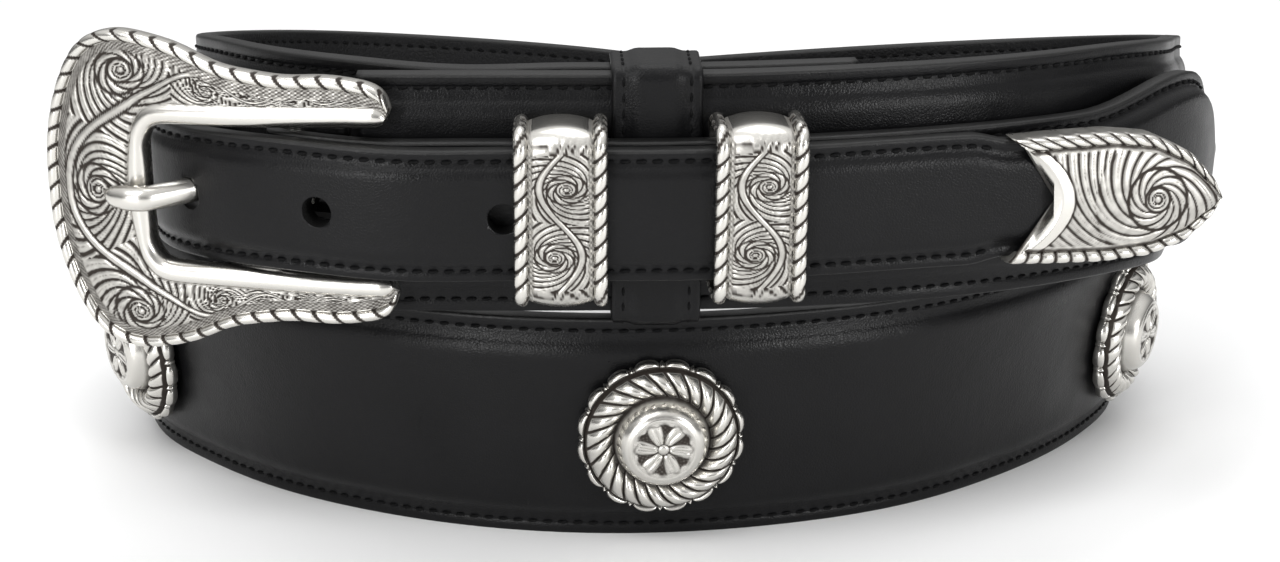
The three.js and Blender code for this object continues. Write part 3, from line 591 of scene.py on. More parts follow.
def buckle_strap():
    _, tangent, out, _ = buckle_path.frame(PIVOT)
    centre = buckle_path.place(PIVOT, 0, -PIVOT_SETBACK)[0]
    wrap = PIVOT_RADIUS + WRAP_GAP + WRAP_THICKNESS / 2
    rows = [(STRAP_TAIL, -wrap), (STRAP_TAIL / 2, -wrap)]
    rows += [(wrap * math.cos(a), wrap * math.sin(a)) for a in np.radians([-90, -135, -180, -225, -270])]
    wrap_rows = []
    for along, outward in rows:
        p = centre + tangent[0] * along + out[0] * outward
        wrap_rows.append((p[0], p[1], centre[2], BUCKLE[-1][3] * outward / wrap))
    base_end = BASE_START + BASE_LENGTH
    seats = stations(BELT_STEP / 2, base_end, BELT_STEP)
    path = Path(wrap_rows + [belt_path.row_at(s, BELT_MIDDLE, BUCKLE_STRAP_MIDDLE) for s in seats])
    seat_knot = path.knots[len(wrap_rows)]
    base_knot = seat_knot + (path.length - seat_knot) * (BASE_START - seats[0]) / (base_end - seats[0])

    def half_at(s):
        share = (s - base_knot) / (path.length - base_knot)
        return STRAP_WIDTH / 2 if share < -0.05 else smooth_base(share)

    def rise_at(s):
        onto = float(smoothstep(s, seat_knot - 7, seat_knot + 7))
        base = float(smoothstep(s, base_knot, base_knot + BASE_LENGTH / 3))
        return STRAP_RISE * onto * (1 - base) + BASE_RISE * base + 0.02

    def thickness_at(s):
        onto = float(smoothstep(s, seat_knot - 3, seat_knot + 3))
        return WRAP_THICKNESS + (STRAP_THICKNESS - WRAP_THICKNESS) * onto

    sizes = half_at, rise_at, thickness_at, STRAP_MARGIN, STRAP_SLOPE
    obj = strap_mesh("buckle_strap_skin", path, stations(0, path.length, 0.7), *sizes, wavy=0.01, seed=2)
    points, faces = box(2 * wrap + STRAP_TAIL, TONGUE_EYE_WIDTH + 3 * TONGUE_GAP, 20)
    slot = finish_mesh("slot", points - SHIFT, faces, [BLACK_EDGE], smooth=False)
    cut(obj, placed(slot, buckle_path, PIVOT, 0, -PIVOT_SETBACK))
    ride(obj, "black_leather", "buckle_strap")
    narrow_thread("buckle_strap_thread", path, seat_knot - 1, path.length - 3.4, half_at)


TIP = [(0, 0.95), (0.2, 0.98), (0.45, 1), (0.66, 0.93), (0.83, 0.7), (0.955, 0.32), (1, 0.05)]


def tip_half(share):
    """The tip's half height at a share of its length."""
    shares, halves = zip(*TIP)
    return np.interp(share, shares, halves) * TIP_HALF


def punch_mesh():
    faces, height = 40, 9.6
    turns = circle(faces)
    ring = np.stack([HOLE_RADIUS * np.cos(turns), HOLE_RADIUS * np.sin(turns), np.full(faces, height / 2)], 1)
    points = np.concatenate([ring * [1, 1, -1], ring]) - SHIFT
    return finish_mesh("punch", points, tube_faces(2, faces), [BLACK_EDGE], smooth=False)


def hole_strap():
    def half_at(s):
        if s > TIP_PLACE - 5:
            inside = float(tip_half(max(s - TIP_PLACE, 0) / TIP_LENGTH)) - 0.5
            into = float(smoothstep(s, TIP_PLACE - 5, TIP_PLACE + 1.5))
            return max(STRAP_WIDTH / 2 * (1 - into) + inside * into, 0.5)
        if s < BASE_LENGTH * 1.05:
            return smooth_base(1 - s / BASE_LENGTH)
        return STRAP_WIDTH / 2

    def rise_at(s):
        base = 1 - float(smoothstep(s, BASE_LENGTH * 0.66, BASE_LENGTH))
        return STRAP_RISE * (1 - base) + BASE_RISE * base

    places = stations(0, TIP_PLACE + 0.9 * TIP_LENGTH, 0.7)
    sizes = half_at, rise_at, constant(STRAP_THICKNESS), STRAP_MARGIN, STRAP_SLOPE
    obj = strap_mesh("hole_strap_skin", hole_path, places, *sizes, wavy=0.015, seed=5)
    target = buckle_path.place(PIVOT - USED_HOLE_REACH, 0, 0)[0]
    tries = stations(0, hole_path.length, 0.5)
    gaps = np.linalg.norm(hole_path.place(tries, 0 * tries, 0 * tries) - target, axis=1)
    used = tries[np.argmin(gaps)]
    for i in range(-HOLES_BEFORE, HOLES_AFTER + 1):
        along = used + i * HOLE_PITCH + (NEXT_HOLE_GAP - HOLE_PITCH if i > 0 else 0)
        cut(obj, placed(punch_mesh(), hole_path, along, 0, 0))
    cut(obj, tongue_mesh("thick_tongue", np.array(TONGUE), 8, 1, TONGUE_GAP))
    ride(obj, "black_leather", "hole_strap")
    narrow_thread("hole_strap_thread", hole_path, 3.4, TIP_PLACE - 0.5, half_at)


# Relief: a running scroll drawn once on a tile, then laid along each piece

TILE_LENGTH, TILE_PIXELS = 1.5, 240
VINE_SWING, VINE_HALF = 0.34, 0.045


def swirl(x, y, turn, arms, twist, split, full=0.84, forked=0.7):
    """Feathers that curl out of a centre, with veins. Past the split radius each one forks."""
    rho = np.hypot(x, y) + 1e-6
    angle = np.arctan2(y, x) * turn / (2 * math.pi)
    phase = np.where(rho > split, 2, 1) * arms * (angle + twist * np.log(rho / split))
    off = np.abs(phase % 1 - 0.5) * 2
    body = np.sqrt(np.clip(1 - (off / full) ** 2.2, 0, 1))
    vein = peak(off, 0.13) * smoothstep(rho / split, 0.5, 0.9)
    fork = peak(rho / split - 1, 0.06)
    return body * (1 - 0.45 * vein) * (1 - forked * fork)


def curl_and_boss(x, y, turn, radius, height):
    """A tight curl with a round boss in the middle, drawn over the feathers inside a radius."""
    rho = np.hypot(x, y) + 1e-6
    phase = np.arctan2(y, x) * turn / (2 * math.pi) + 1.9 * np.log(rho / radius)
    off = np.abs(phase % 1 - 0.5) * 2
    curl = np.sqrt(np.clip(1 - (off / 0.82) ** 2.4, 0, 1))
    boss = np.sqrt(np.clip(1 - (rho / (0.3 * radius)) ** 2, 0, 1))
    made = np.where(rho < 0.34 * radius, boss, curl)
    return np.where(rho < radius, made, height) * (1 - 0.8 * peak(rho / radius - 1, 0.12))


def scroll_tile():
    """One half wave of a leafy scroll, x from 0 to TILE_LENGTH and y from -0.5 to 0.5."""
    columns, rows = int(TILE_PIXELS * TILE_LENGTH), TILE_PIXELS
    xs, ys = np.meshgrid(np.linspace(0, TILE_LENGTH, columns), np.linspace(-0.5, 0.5, rows))
    middle = TILE_LENGTH / 2
    height = np.zeros(xs.shape)
    nearest = np.full(xs.shape, 9.0)
    for wave, side in ((-1, -1), (0, 1), (1, -1)):
        x, y = xs - middle - wave * TILE_LENGTH, ys - side * 0.1
        far = np.hypot(x, y)
        cell = curl_and_boss(x, y, side, 0.17, swirl(x, y, side, 7, 0.34, 0.32))
        height = np.where(far < nearest, cell, height)
        nearest = np.minimum(nearest, far)
    vine = -VINE_SWING * np.cos(math.pi * (xs - middle) / TILE_LENGTH)
    seam = np.abs(ys - vine) / np.hypot(1, VINE_SWING * math.pi / TILE_LENGTH)
    stem = np.sqrt(np.clip(1 - (seam / VINE_HALF) ** 2, 0, 1))
    return np.where(seam < VINE_HALF, stem, height * smoothstep(seam, VINE_HALF, 0.075))


SCROLL = scroll_tile()


def scroll_at(phase, across):
    """The running scroll's height at a phase along it and a share across, from -0.5 to 0.5."""
    half_wave = np.floor(phase / TILE_LENGTH)
    x = (phase - half_wave * TILE_LENGTH) / TILE_LENGTH * (SCROLL.shape[1] - 1)
    flip = np.where(half_wave % 2 == 0, 1, -1)
    y = (np.clip(across * flip, -0.5, 0.5) + 0.5) * (SCROLL.shape[0] - 1)
    x0, y0 = np.clip(x.astype(int), 0, SCROLL.shape[1] - 2), np.clip(y.astype(int), 0, SCROLL.shape[0] - 2)
    fx, fy = x - x0, y - y0
    a = SCROLL[y0, x0] * (1 - fx) + SCROLL[y0, x0 + 1] * fx
    b = SCROLL[y0 + 1, x0] * (1 - fx) + SCROLL[y0 + 1, x0 + 1] * fx
    return a * (1 - fy) + b * fy


def patina(field):
    """How dark the engraved ground is under a height of the scroll."""
    return 0.42 + 0.53 * (1 - np.clip((field - 0.2) * 1.9, 0, 1))


def rope(along, turn, pitch, slant):
    """Height share and darkness of twisted strands at a place along a cord and a half turn round it."""
    phase = along / pitch + slant * (1 - np.cos(math.pi * turn)) / 2
    x = np.abs((phase % 1) - 0.5) * 2
    bulge = np.sqrt(np.clip(1 - x**2.6, 0, 1))
    return bulge, smoothstep(x, 0.6, 0.88)


def rope_edge(along, turns, pitch, slant, radius, edge, inner_line):
    """A half turn of rope inside an edge at a signed distance: distances, lifts and darkness."""
    bulge, shadow = rope(along, turns, pitch, slant)
    r = radius * (0.62 + 0.45 * bulge)
    across = np.sign(edge) * (abs(edge) - radius + r * np.cos(math.pi * turns))
    return np.array([across, r * np.sin(math.pi * turns), shadow * 0.95 + inner_line * (turns > 0.93)])


def joined(*runs):
    """Runs of two coordinates and a darkness, one after another, as a ring of points and their darkness."""
    rows = np.concatenate([np.atleast_2d(np.stack(np.broadcast_arrays(*run), -1)) for run in runs])
    return rows[:, :2], rows[:, 2]


BUCKLE_UP = [
    (0.29, 0.58, 0.272, 0.49),
    (0.27, 0.69, 0.252, 0.468),
    (0.195, 0.755, 0.188, 0.463),
    (0.099, 0.775, 0.099, 0.459),
    (0, 0.768, 0, 0.453),
    (-0.099, 0.79, -0.099, 0.446),
    (-0.188, 0.828, -0.178, 0.442),
    (-0.296, 0.927, -0.277, 0.438),
    (-0.395, 0.983, -0.348, 0.433),
    (-0.494, 1, -0.387, 0.403),
    (-0.583, 0.927, -0.409, 0.326),
    (-0.652, 0.738, -0.413, 0.24),
    (-0.703, 0.455, -0.413, 0.146),
    (-0.725, 0.18, -0.413, 0.056),
]


def lay_on(points, path, along):
    """Lays flat points, x along, y up and z outward, on a path."""
    origin, _, out, up = path.frame(along + points[:, 0])
    return origin + up * points[:, 1:2] + out * points[:, 2:3]


def buckle_ring(i, width, scale, along, phase):
    """The frame's section from its outer edge inward: rope, stippled line, scroll and bezel."""
    half = BUCKLE_THICK / 2
    radius, bezel = BUCKLE_ROPE_RADIUS * scale, BUCKLE_BEZEL * scale
    t = np.linspace(0.02, 1, 14)
    bulge, shadow = rope(along, t, BUCKLE_ROPE_PITCH, 0.5)
    r = radius * (0.82 + 0.2 * bulge)
    cord = radius - r * np.cos(math.pi * t), half - 0.5 + r * np.sin(math.pi * t) * 1.02
    cord_dark = shadow * 0.95 + 0.35 * (t > 0.93) + 0.2 * (t < 0.08)
    start, stop = 2 * radius + 0.1 * scale, width - bezel
    t = np.linspace(0, 1, 46)
    inward = start + (stop - start) * t
    stipple = 1 - smoothstep(inward - start, 0.9 * scale, 1.5 * scale)
    dots = math.sin(i * 2.1) * np.sin(inward * 12)
    field = scroll_at(np.full(len(t), phase), t - 0.5)
    lift = 0.34 * field * (1 - stipple) + 0.08 * stipple * dots
    crown = 0.35 * np.sin(math.pi * t) * min(1, (stop - start) / 8)
    plate = half - 0.4 + (lift + crown) * smoothstep(inward - start, 0.15, 0.55)
    plate_dark = patina(field) * (1 - stipple) + (0.62 + 0.2 * dots) * stipple
    t = np.linspace(0, 1, 11)
    swell = np.sin(math.pi * t) ** 0.6
    rim = stop + bezel * (0.04 + 0.94 * t), half - 0.35 + 0.95 * scale * swell - 0.2 * t
    return joined(
        (0.5 * scale, -half, 0.25),
        (0.12 * scale, -half * 0.6, 0.25),
        (0.02, -0.2, 0.5),
        (*cord, cord_dark),
        (inward, plate, plate_dark),
        (*rim, 0.55 * np.maximum(0, 1 - t * 9)),
        (width, half * 0.2, 0.15),
        (width - 0.05, -half * 0.5, 0.25),
        (width - 0.35 * scale, -half, 0.3),
    )


def ring_round_pivot(radius, height, faces):
    turns = circle(faces)
    outward = radius * np.sin(turns) - PIVOT_SETBACK
    return np.column_stack([radius * np.cos(turns), np.full(faces, height), outward])


def cast(name, path, along, rings, faces, recess, *nodes):
    """A piece of silver, laid on a path and set to ride."""
    points = lay_on(np.concatenate(rings), path, along)
    return ride(finish_mesh(name, points, faces, [SILVER], recess=recess), "antique_silver", *nodes)


def buckle():
    low = [(a, -b, c, -d) for a, b, c, d in BUCKLE_UP][::-1]
    rows = BUCKLE_UP + [(-0.727, 0, -0.413, 0)] + low
    curve = Path(np.array(rows) * [BUCKLE_LENGTH, BUCKLE_HALF, BUCKLE_LENGTH, BUCKLE_HALF])
    line = curve.at(stations(0, curve.length, 0.3))
    outer, inner = line[:, :2], line[:, 2:]
    width = np.linalg.norm(outer - inner, axis=1)
    borders = 2 * BUCKLE_ROPE_RADIUS + BUCKLE_BEZEL
    scale = np.minimum(1, width / (borders + 1))
    plate = np.maximum(width - borders * scale, 0.6)
    steps = np.diff(walked((outer + inner) / 2)) / ((plate[1:] + plate[:-1]) / 2 + 0.8)
    phase = np.concatenate([[0], np.cumsum(steps)])
    phase += TILE_LENGTH / 2 - phase[len(phase) // 2]
    along = walked(outer)
    rings, darks = [], []
    for i in range(len(line)):
        shape, dark = buckle_ring(i, width[i], scale[i], along[i], phase[i])
        share = (shape[:, 0] / width[i])[:, None]
        rings.append(np.column_stack([outer[i] * (1 - share) + inner[i] * share, shape[:, 1]]))
        darks.append(dark)
    faces = tube_faces(len(rings), len(rings[0]))
    cast("buckle_frame", buckle_path, PIVOT, rings, faces, np.concatenate(darks), "buckle")
    rings = [ring_round_pivot(PIVOT_RADIUS, height, 20) for height in np.linspace(-13.6, 13.6, 16)]
    cast("pivot_bar", buckle_path, PIVOT, rings, tube_faces(16, 20), 0.2)
    corners, faces = box(2 * PIVOT_RADIUS, 2 * PIVOT_RADIUS, 3.2)
    for name, height in (("post_low", -12.6), ("post_high", 12.6)):
        points = lay_on(corners + [0, height, -PIVOT_SETBACK / 2], buckle_path, PIVOT)
        post = finish_mesh(name, points, faces, [SILVER], smooth=False, recess=0.3)
        bevel = post.modifiers.new("bevel", "BEVEL")
        bevel.width = 0.0004
        bevel.segments = 3
        ride(post, "antique_silver")


# The tongue's line: along, outward and share of its radius
TONGUE = [
    (-0.5, -3.5, 0.9),
    (-8, -3.2, 1),
    (-14.6, -2.7, 1),
    (-17.2, 0.5, 1),
    (-20.2, 3.95, 1),
    (-22.4, 4.15, 1),
    (-24.6, 3.9, 0.85),
    (-26.3, 2.6, 0.45),
]
EYE = [(1.75, -1.3), (1.75, 1.3), (2.0, 1.5), (2.8, 1.5), (3.0, 1.2), (3.0, -1.2), (2.8, -1.5), (2.0, -1.5)]


def tongue_mesh(name, rows, faces, wide, extra=0):
    """A round bar along rows of the tongue's line, wider than it is thick, with extra radius for a cutter."""
    turns = 2 * math.pi * (np.arange(faces) + 0.5) / faces
    rings = []
    for i, (x, z, share) in enumerate(rows):
        before, after = rows[max(i - 1, 0)], rows[min(i + 1, len(rows) - 1)]
        slope = math.atan2(after[1] - before[1], after[0] - before[0])
        radius = TONGUE_RADIUS * share + extra
        off = radius * np.sin(turns)
        sides = wide * radius * np.cos(turns)
        rings.append(np.column_stack([x - off * math.sin(slope), sides, z + off * math.cos(slope)]))
    points = lay_on(np.concatenate(rings), buckle_path, PIVOT)
    return finish_mesh(name, points, tube_faces(len(rings), faces), [SILVER], recess=0.05)


def softened(values, times):
    """Each value drawn toward the mean of its neighbours, with the ends kept."""
    for _ in range(times):
        values[1:-1] = (values[:-2] + 2 * values[1:-1] + values[2:]) / 4
    return values


def tongue():
    fine = np.linspace(0, len(TONGUE) - 1, 60)
    columns = [np.interp(fine, range(len(TONGUE)), column) for column in zip(*TONGUE)]
    rows = softened(np.column_stack(columns), 5)
    x, z, share = rows[-1]
    rows = np.vstack([rows, [x - 0.35, z - 0.08, share * 0.75], [x - 0.6, z - 0.14, share * 0.3]])
    ride(tongue_mesh("tongue_shaft", rows, 20, 1.15), "antique_silver", "tongue")
    rings = [ring_round_pivot(radius, height, 32) for radius, height in EYE]
    cast("tongue_eye", buckle_path, PIVOT, rings, grid_quads(len(EYE), 32, closed=True), 0.15)


# Bands round the straps


def loop_points(half, back, front, corner, face_steps, back_steps, corner_steps):
    """Points and outward directions round a rounded rectangle of height and depth, with the length walked."""
    straight = half - corner
    rows = [(y, front, 0, 1) for y in np.linspace(-straight, straight, face_steps, endpoint=False)]
    deep = front - back - 2 * corner
    for y, z, start, long, count in (
        (straight, front - corner, 0, deep, 4),
        (straight, back + corner, 90, 2 * straight, back_steps),
        (-straight, back + corner, 180, deep, 4),
        (-straight, front - corner, 270, 0, 0),
    ):
        for a in np.radians(start + np.linspace(0, 90, corner_steps)):
            rows.append((y + corner * math.sin(a), z + corner * math.cos(a), math.sin(a), math.cos(a)))
        end_y, end_z, y_out, z_out = rows[-1]
        for t in np.linspace(0, 1, count, endpoint=False)[1:]:
            rows.append((end_y + z_out * long * t, end_z - y_out * long * t, y_out, z_out))
    rows = np.array(rows[:-1])
    return rows, walked(rows[:, :2])


def band_mesh(name, rings, material_used, place, **values):
    """A closed band of rings, set round the straps at a place."""
    quads = grid_quads(len(rings), len(rings[0]), closed=True)
    obj = finish_mesh(name, np.concatenate(rings) - SHIFT, quads, [material_used], **values)
    return placed(obj, belt_path, place, BELT_MIDDLE, 0)


def keeper(name, node_name, place):
    half_height = STRAP_WIDTH / 2 + KEEPER_SLACK
    back = KEEPER_BACK + KEEPER_WALL
    rows, walk = loop_points(half_height, back, KEEPER_FRONT, KEEPER_CORNER, 120, 10, 9)
    half, base = KEEPER_WIDTH / 2, KEEPER_WALL * 0.55
    lifted = [[0], [base], [0]]
    total = walk[-1] + 0.2
    pitch = total / round(total / KEEPER_ROPE_PITCH)
    face_long = 2 * (half_height - KEEPER_CORNER)
    turns, t = np.linspace(0, 1, 12), np.linspace(0, 1, 64)
    x = (half - 2 * KEEPER_ROPE_RADIUS - 0.05) * (1 - 2 * t)
    dome = 0.95 * (1 - (2 * t - 1) ** 2) ** 0.8
    band = smoothstep(np.abs(2 * t - 1), 0.84, 0.9)
    rings, darks = [], []
    for along, (y, z, y_out, z_out) in zip(walk, rows):
        shown = smoothstep(z_out, -0.95, -0.3)
        engraved = smoothstep(z_out, 0.75, 0.98) * (1 - band)
        phase = (y / face_long + 0.5) * 2 * TILE_LENGTH
        field = scroll_at(np.full(len(t), phase), (t - 0.5) * 1.04)
        dots = 0.5 + 0.2 * math.sin(y * 8) * np.sin(x * 11)
        plate_dark = patina(field) * engraved + dots * band * shown
        cords = [
            rope_edge(along, turns, pitch, slant, KEEPER_ROPE_RADIUS, edge, 0.3) * [[1], [shown], [shown]]
            for edge, slant in ((half, 0.62), (-half, -0.62))
        ]
        shape, dark = joined(
            (0.25 - half, 0, 0.2),
            (half - 0.25, 0, 0.2),
            cords[0] + lifted,
            (x, base + shown * dome + 0.24 * field * engraved, plate_dark),
            cords[1][:, ::-1] + lifted,
        )
        rings.append(np.column_stack([shape[:, 0], y + shape[:, 1] * y_out, z + shape[:, 1] * z_out]))
        darks.append(dark)
    ride(band_mesh(name, rings, SILVER, place, recess=np.concatenate(darks)), "antique_silver", node_name)


def leather_loop():
    half, groove_share = LOOP_HALF_WIDTH, 0.74
    front = BELT_THICKNESS / 2 + BELT_RISE + SEAT_GAP
    back = -LAP - BELT_THICKNESS / 2 - 1
    rows, walk = loop_points(BELT_MIDDLE + SEAT_GAP, back, front, 0.7, 60, 40, 7)
    side = np.concatenate([[0.985, 0.95], np.linspace(0.9, 0.6, 8)])
    across = np.concatenate([[-1], -side, np.linspace(-0.55, 0.55, 12), side[::-1], [1]])
    edge = np.sqrt(1 - ((np.abs(across) - 0.93) / 0.07).clip(0, 1) ** 2)
    groove = peak(np.abs(across) - groove_share, 0.035)
    pad = 0.45 * smoothstep(0.66 - np.abs(across), 0, 0.28)
    rings = []
    for along, (y, z, y_out, z_out) in zip(walk, rows):
        pull = 0.14 + 0.08 * math.cos(2 * math.pi * along / STITCH_PITCH)
        lift = 0.45 + 0.6 * edge - groove * pull + pad
        x = np.concatenate([[0.1 - half, half - 0.1], half * across[::-1]])
        lift = np.concatenate([[0, 0], lift[::-1]])
        rings.append(np.column_stack([x, y + lift * y_out, z + lift * z_out]))
    ride(band_mesh("leather_loop_skin", rings, BLACK, LOOP_PLACE), "black_leather", "leather_loop")
    _, tangent, out, up = belt_path.frame(LOOP_PLACE)
    turn = np.array([tangent[0], up[0], out[0]])
    centre = belt_path.place(LOOP_PLACE, BELT_MIDDLE, 0)[0]
    made = []
    for x in (-half * groove_share, half * groove_share):
        for target in np.arange(0.8, walk[-1], STITCH_PITCH):
            i = min(int(np.searchsorted(walk, target)), len(rows) - 2)
            y, z, y_out, z_out = rows[i]
            long = np.array([0, *(rows[i + 1] - rows[i])[:2]])
            if walk[i + 1] - walk[i] < 1e-6:
                continue
            normal = np.array([0, y_out, z_out])
            point = np.array([x, y, z]) + normal * 0.98
            made.append((centre + point @ turn, long / np.linalg.norm(long) @ turn, normal @ turn))
    ride(stitches("leather_loop_thread", made, 0.24, 1.5), "black_leather")


def tip_field(x, y):
    """The tip's engraving: one curl near the point, with feathers that run out of it to the left."""
    split = 4.6
    near = curl_and_boss(x, y, 1, 1.9, swirl(x, y, 1, 9, 0.3, split, 0.9))
    far = swirl(x, y, 1, 13, 0.3, 9.5, 0.92, 0.25)
    ring = np.hypot(x, y)
    return np.where(ring < split, near, far) * (1 - 0.8 * peak(ring - split, 0.2))


def tip_reach(y, share):
    """How far along the tip a point at a height lies, with the notched end hollowed."""
    hollow = TIP_NOTCH * (1 - (y / TIP_HALF) ** 2)
    return TIP_LENGTH * share + hollow * (1 - share) ** 2, hollow


def tip_ring(share, half, along):
    """The tip's section from its lower edge to its upper one and back inside."""
    fit = min(1, half / (4 * TIP_ROPE_RADIUS + 1))
    wall, radius = TIP_WALL * fit, TIP_ROPE_RADIUS * (0.35 + 0.65 * fit)
    turns = np.linspace(0.05, 1, 11)
    cords = [
        rope_edge(along, turns, TIP_ROPE_PITCH, slant, radius, edge, 0.35) + [[0], [0.55], [0]]
        for edge, slant in ((-half, 0.6), (half, -0.6))
    ]
    t = np.linspace(-1, 1, 78)
    y = max(half - 2 * radius - 0.05, 0.02) * t
    x, hollow = tip_reach(y, share)
    distance = x - hollow
    keep = smoothstep(1 - abs(t), 0.02, 0.12)
    band = smoothstep(distance, 2.1, 2.5)
    field = tip_field(x - 22.5, y + 0.3)
    rim = 0.3 * (1 - band) * smoothstep(distance, 0, 0.5)
    plate = 0.95 + 0.7 * fit * (1 - t * t) + 0.22 * field * band * keep + rim
    plate_dark = np.maximum(patina(field) * band * keep, 0.75 * (1 - keep)) + 0.5 * peak(distance - 2.3, 0.25)
    inner = half - wall
    return joined(
        (-half, -TIP_SKIRT, 0.3),
        (-half, 0.1, 0.35),
        cords[0],
        (y, plate, plate_dark),
        cords[1][:, ::-1],
        (half, 0.1, 0.35),
        (half, -TIP_SKIRT, 0.3),
        (np.array([inner, inner, 0, -inner, -inner]), np.array([-TIP_SKIRT, 0, 0, 0, -TIP_SKIRT]), 0.5),
    )


def strap_tip():
    shares = np.linspace(0, 1, 150)
    halves = softened(tip_half(shares), 6)
    walk = walked(np.column_stack([TIP_LENGTH * shares, halves]))
    seat = STRAP_THICKNESS / 2 + STRAP_RISE + SEAT_GAP
    rings, darks = [], []
    for share, half, along in zip(shares, halves, walk):
        shape, dark = tip_ring(share, half, along)
        x, _ = tip_reach(shape[:, 0], share)
        rings.append(np.column_stack([x, shape[:, 0], shape[:, 1] + seat]))
        darks.append(dark)
    faces = tube_faces(len(rings), len(rings[0]))
    cast("tip_cap", hole_path, TIP_PLACE, rings, faces, np.concatenate(darks), "strap_tip")


# Conchos: shares of the radius where the medallion, the collar and the strands end
DISC, COLLAR, STRANDS = 0.4, 0.56, 0.9


def medallion(u, a):
    """A flower with six petals on a dotted ground, inside a scalloped line: height and darkness."""
    edge = 0.78 + 0.07 * np.abs(np.cos(6 * a))
    inside = smoothstep(edge - u, 0, 0.05)
    border = smoothstep(u, 0.9, 0.97)
    petal = np.abs(np.cos(3 * a + 0.5 * u))
    star = np.clip(petal * 0.95 + 0.25 - u, 0, 1) * smoothstep(u, 0.14, 0.3)
    ground = 0.11 * (1 + np.sin(u * 46) * np.sin(a * 30))
    relief = np.where(star > 0.05, np.minimum(star * 2.2, 1) - 0.35 * peak(petal - 1, 0.03), ground)
    relief = np.maximum(relief, np.sqrt(np.clip(1 - (u / 0.16) ** 2, 0, 1)))
    height = 5.25 + 0.35 * np.maximum(relief * inside, 0.75 * (1 - inside) * (1 - border)) + 0.3 * border
    dark = (0.2 + 0.7 * (1 - np.clip(relief * 1.5, 0, 1))) * inside
    return height, dark + 0.55 * peak(edge - u, 0.035) + 0.5 * peak(u - 0.9, 0.03)


def concho_relief(r, a):
    """Height, darkness and outline share of a concho at shares of its radius and angles."""
    off = np.abs((a * CONCHO_LOBES / (2 * math.pi)) % 1 - 0.5) * 2
    lobe = np.sqrt(np.clip(1 - (off / 0.8) ** 2, 0, 1))
    cusp = np.clip((off - 0.8) / 0.2, 0, 1)
    scallop = 0.925 + 0.075 * lobe + 0.05 * cusp
    # rim: a round bead in each lobe and a small point between two lobes
    t = np.clip((r - STRANDS) / (1 - STRANDS), 0, 1)
    rim = 1.1 + 0.8 * np.sin(math.pi * t) ** 0.7 * (0.3 + 0.7 * np.maximum(lobe, cusp))
    edge_line = 1 - smoothstep(np.abs(off - 0.8), 0.03, 0.14)
    rim_dark = np.maximum(0.85 * (1 - smoothstep(t, 0.1, 0.4)), 0.8 * edge_line)
    # ring of slanted strands, wide at the rim
    t = np.clip((r - COLLAR) / (STRANDS - COLLAR), 0, 1)
    x = np.abs((a / (2 * math.pi) * 26 - 1.5 * t) % 1 - 0.5) * 2
    ring = 1.7 + np.sin(math.pi * t) ** 0.6 * (0.9 + 1.15 * np.sqrt(np.clip(1 - x**2.4, 0, 1)))
    ring_dark = 0.95 * np.maximum(smoothstep(x, 0.66, 0.9), 1 - smoothstep(t, 0.0, 0.16))
    ring_dark = np.where(t > 0.93, 0.85, ring_dark)
    # plain collar round the medallion
    t = np.clip((r - DISC) / (COLLAR - DISC), 0, 1)
    collar, collar_dark = 2.6 + 2.8 * (1 - t**2.2), 0.75 * smoothstep(t, 0.72, 1.0)
    disc, disc_dark = medallion(np.clip(r / DISC, 0, 1), a)
    zones = [r <= DISC, r <= COLLAR, r <= STRANDS]
    height = np.select(zones, [disc, collar, ring], rim)
    dark = np.select(zones, [disc_dark, collar_dark, ring_dark], rim_dark)
    return height, dark, scallop


def concho(index, place):
    """A scalloped base, a ring of slanted strands, a plain collar and a flower in the middle."""
    steps = ((0.02, 0.4, 24), (0.41, 0.56, 10), (0.57, 0.9, 26), (0.905, 1.0, 12))
    radii = np.concatenate([np.linspace(*step) for step in steps])
    angles = circle(400)
    r, a = np.meshgrid(radii, angles, indexing="ij")
    height, dark, scallop = concho_relief(r, a)
    reach = np.where(r > STRANDS, STRANDS + (r - STRANDS) / (1 - STRANDS) * (scallop - STRANDS), r)
    # three rings down the rim to the back
    reach = np.concatenate([reach, np.outer((1.0, 0.99, 0.96), scallop[-1])])
    height = np.concatenate([height, np.outer((1.0, 0.3, 0.0), np.ones(len(angles)))])
    dark = np.concatenate([dark, np.full((3, len(angles)), 0.35)])
    x, y = CONCHO_RADIUS * reach * np.cos(angles), CONCHO_RADIUS * reach * np.sin(angles)
    points = np.stack([x, y, height], -1).reshape(-1, 3) - SHIFT
    faces = tube_faces(len(height), len(angles))
    obj = finish_mesh(f"concho_look_{index}", points, faces, [SILVER], recess=dark)
    placed(obj, belt_path, place, BELT_MIDDLE, BELT_THICKNESS / 2 + BELT_RISE + CONCHO_GAP)
    ride(obj, "antique_silver", f"concho_{index}")


wide_strap()
buckle_strap()
hole_strap()
buckle()
tongue()
keeper("keeper_look_left", "keeper_left", KEEPER_LEFT_PLACE)
keeper("keeper_look_right", "keeper_right", KEEPER_RIGHT_PLACE)
leather_loop()
strap_tip()
for i in range(CONCHO_COUNT):
    concho(i + 1, CONCHO_MIDDLE_PLACE + (i - (CONCHO_COUNT - 1) / 2) * CONCHO_SPACING)


# Stage, lights and camera, in metres


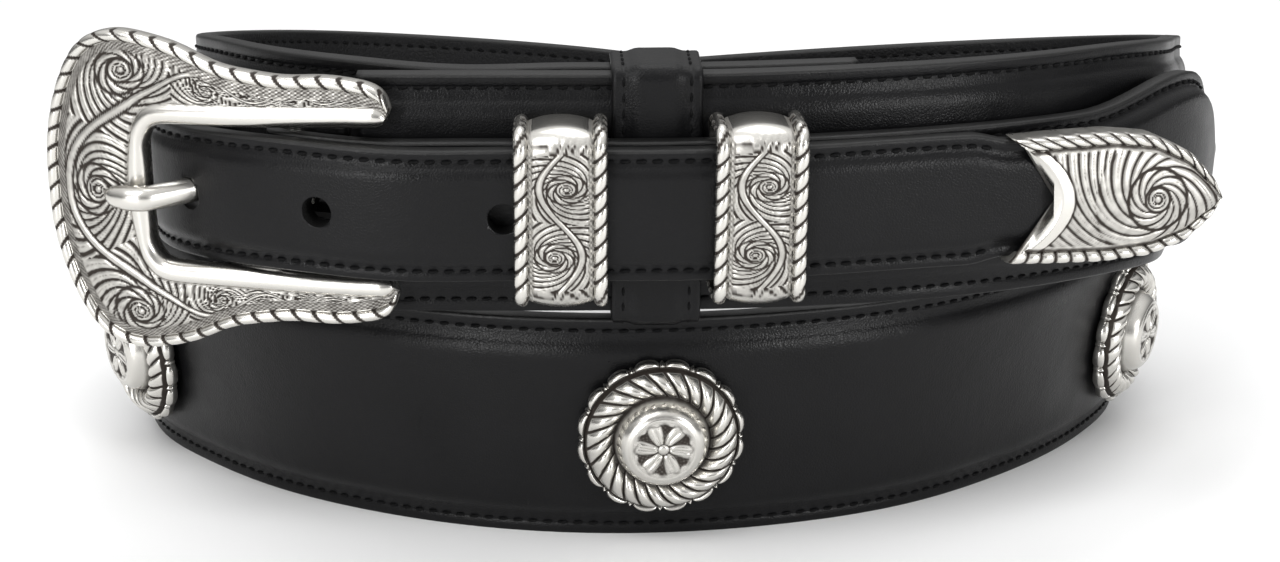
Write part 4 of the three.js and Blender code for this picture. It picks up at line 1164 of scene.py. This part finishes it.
def stage():
    """A pale floor under a sky that is darker near the ground."""
    mesh = bpy.data.meshes.new("floor")
    mesh.from_pydata([(-3, -3, 0), (3, -3, 0), (3, 3, 0), (-3, 3, 0)], [], [(0, 1, 2, 3)])
    pale, _, shader = material("pale_floor")
    shader.inputs["Roughness"].default_value = 0.6
    shader.inputs["Base Color"].default_value = (0.9, 0.9, 0.9, 1)
    mesh.materials.append(pale)
    linked("floor", mesh)
    world = bpy.data.worlds.new("studio")
    bpy.context.scene.world = world
    world.use_nodes = True
    tree = world.node_tree
    sky = tree.nodes["Background"]
    sky.inputs["Color"].default_value = (1, 1, 1, 1)
    direction = node(tree, "ShaderNodeTexCoord", {}).outputs["Generated"]
    split = node(tree, "ShaderNodeSeparateXYZ", {})
    tree.links.new(direction, split.inputs["Vector"])
    tree.links.new(ranged(tree, split.outputs["Z"], 0.05, 0.75, 0.08, 1.05), sky.inputs["Strength"])


def aimed(name, data, at, aim):
    """Puts a light or camera at a point, looking at another."""
    made = linked(name, data)
    made.location = at
    made.rotation_euler = (Vector(aim) - Vector(at)).to_track_quat("-Z", "Y").to_euler()
    return made


def softbox(name, at, aim, width, height):
    light = bpy.data.lights.new(name, "AREA")
    light.shape = "RECTANGLE"
    light.size, light.size_y = width, height
    light.energy = 3
    aimed(name, light, at, aim)


def camera():
    """The photo's camera: its distance, its height above level and its lens for a frame 1280 pixels wide."""
    distance, above, focal_pixels, frame_pixels = 0.5261, math.radians(14.67), 2798, 1280
    target = np.array([0, 0.05575, 0.00773]) + SHIFT * MM
    at = target + distance * np.array([0, -math.cos(above), math.sin(above)])
    lens = bpy.data.cameras.new("camera")
    lens.sensor_width = 36
    lens.lens = focal_pixels / frame_pixels * lens.sensor_width
    lens.clip_start = 0.01
    lens.clip_end = 20
    bpy.context.scene.camera = aimed("camera", lens, at, target)


bpy.context.scene.view_settings.view_transform = "Standard"
stage()
softbox("key", (-0.35, -0.55, 0.75), (0, 0, 0.03), 0.5, 0.5)
softbox("top", (0.1, 0.1, 0.9), (0, 0, 0.03), 0.7, 0.5)
softbox("low_left", (-0.42, -0.75, 0.16), (-0.02, 0, 0.03), 0.12, 0.3)
softbox("low_right", (0.6, -0.62, 0.18), (0.04, 0, 0.03), 0.12, 0.3)
camera()
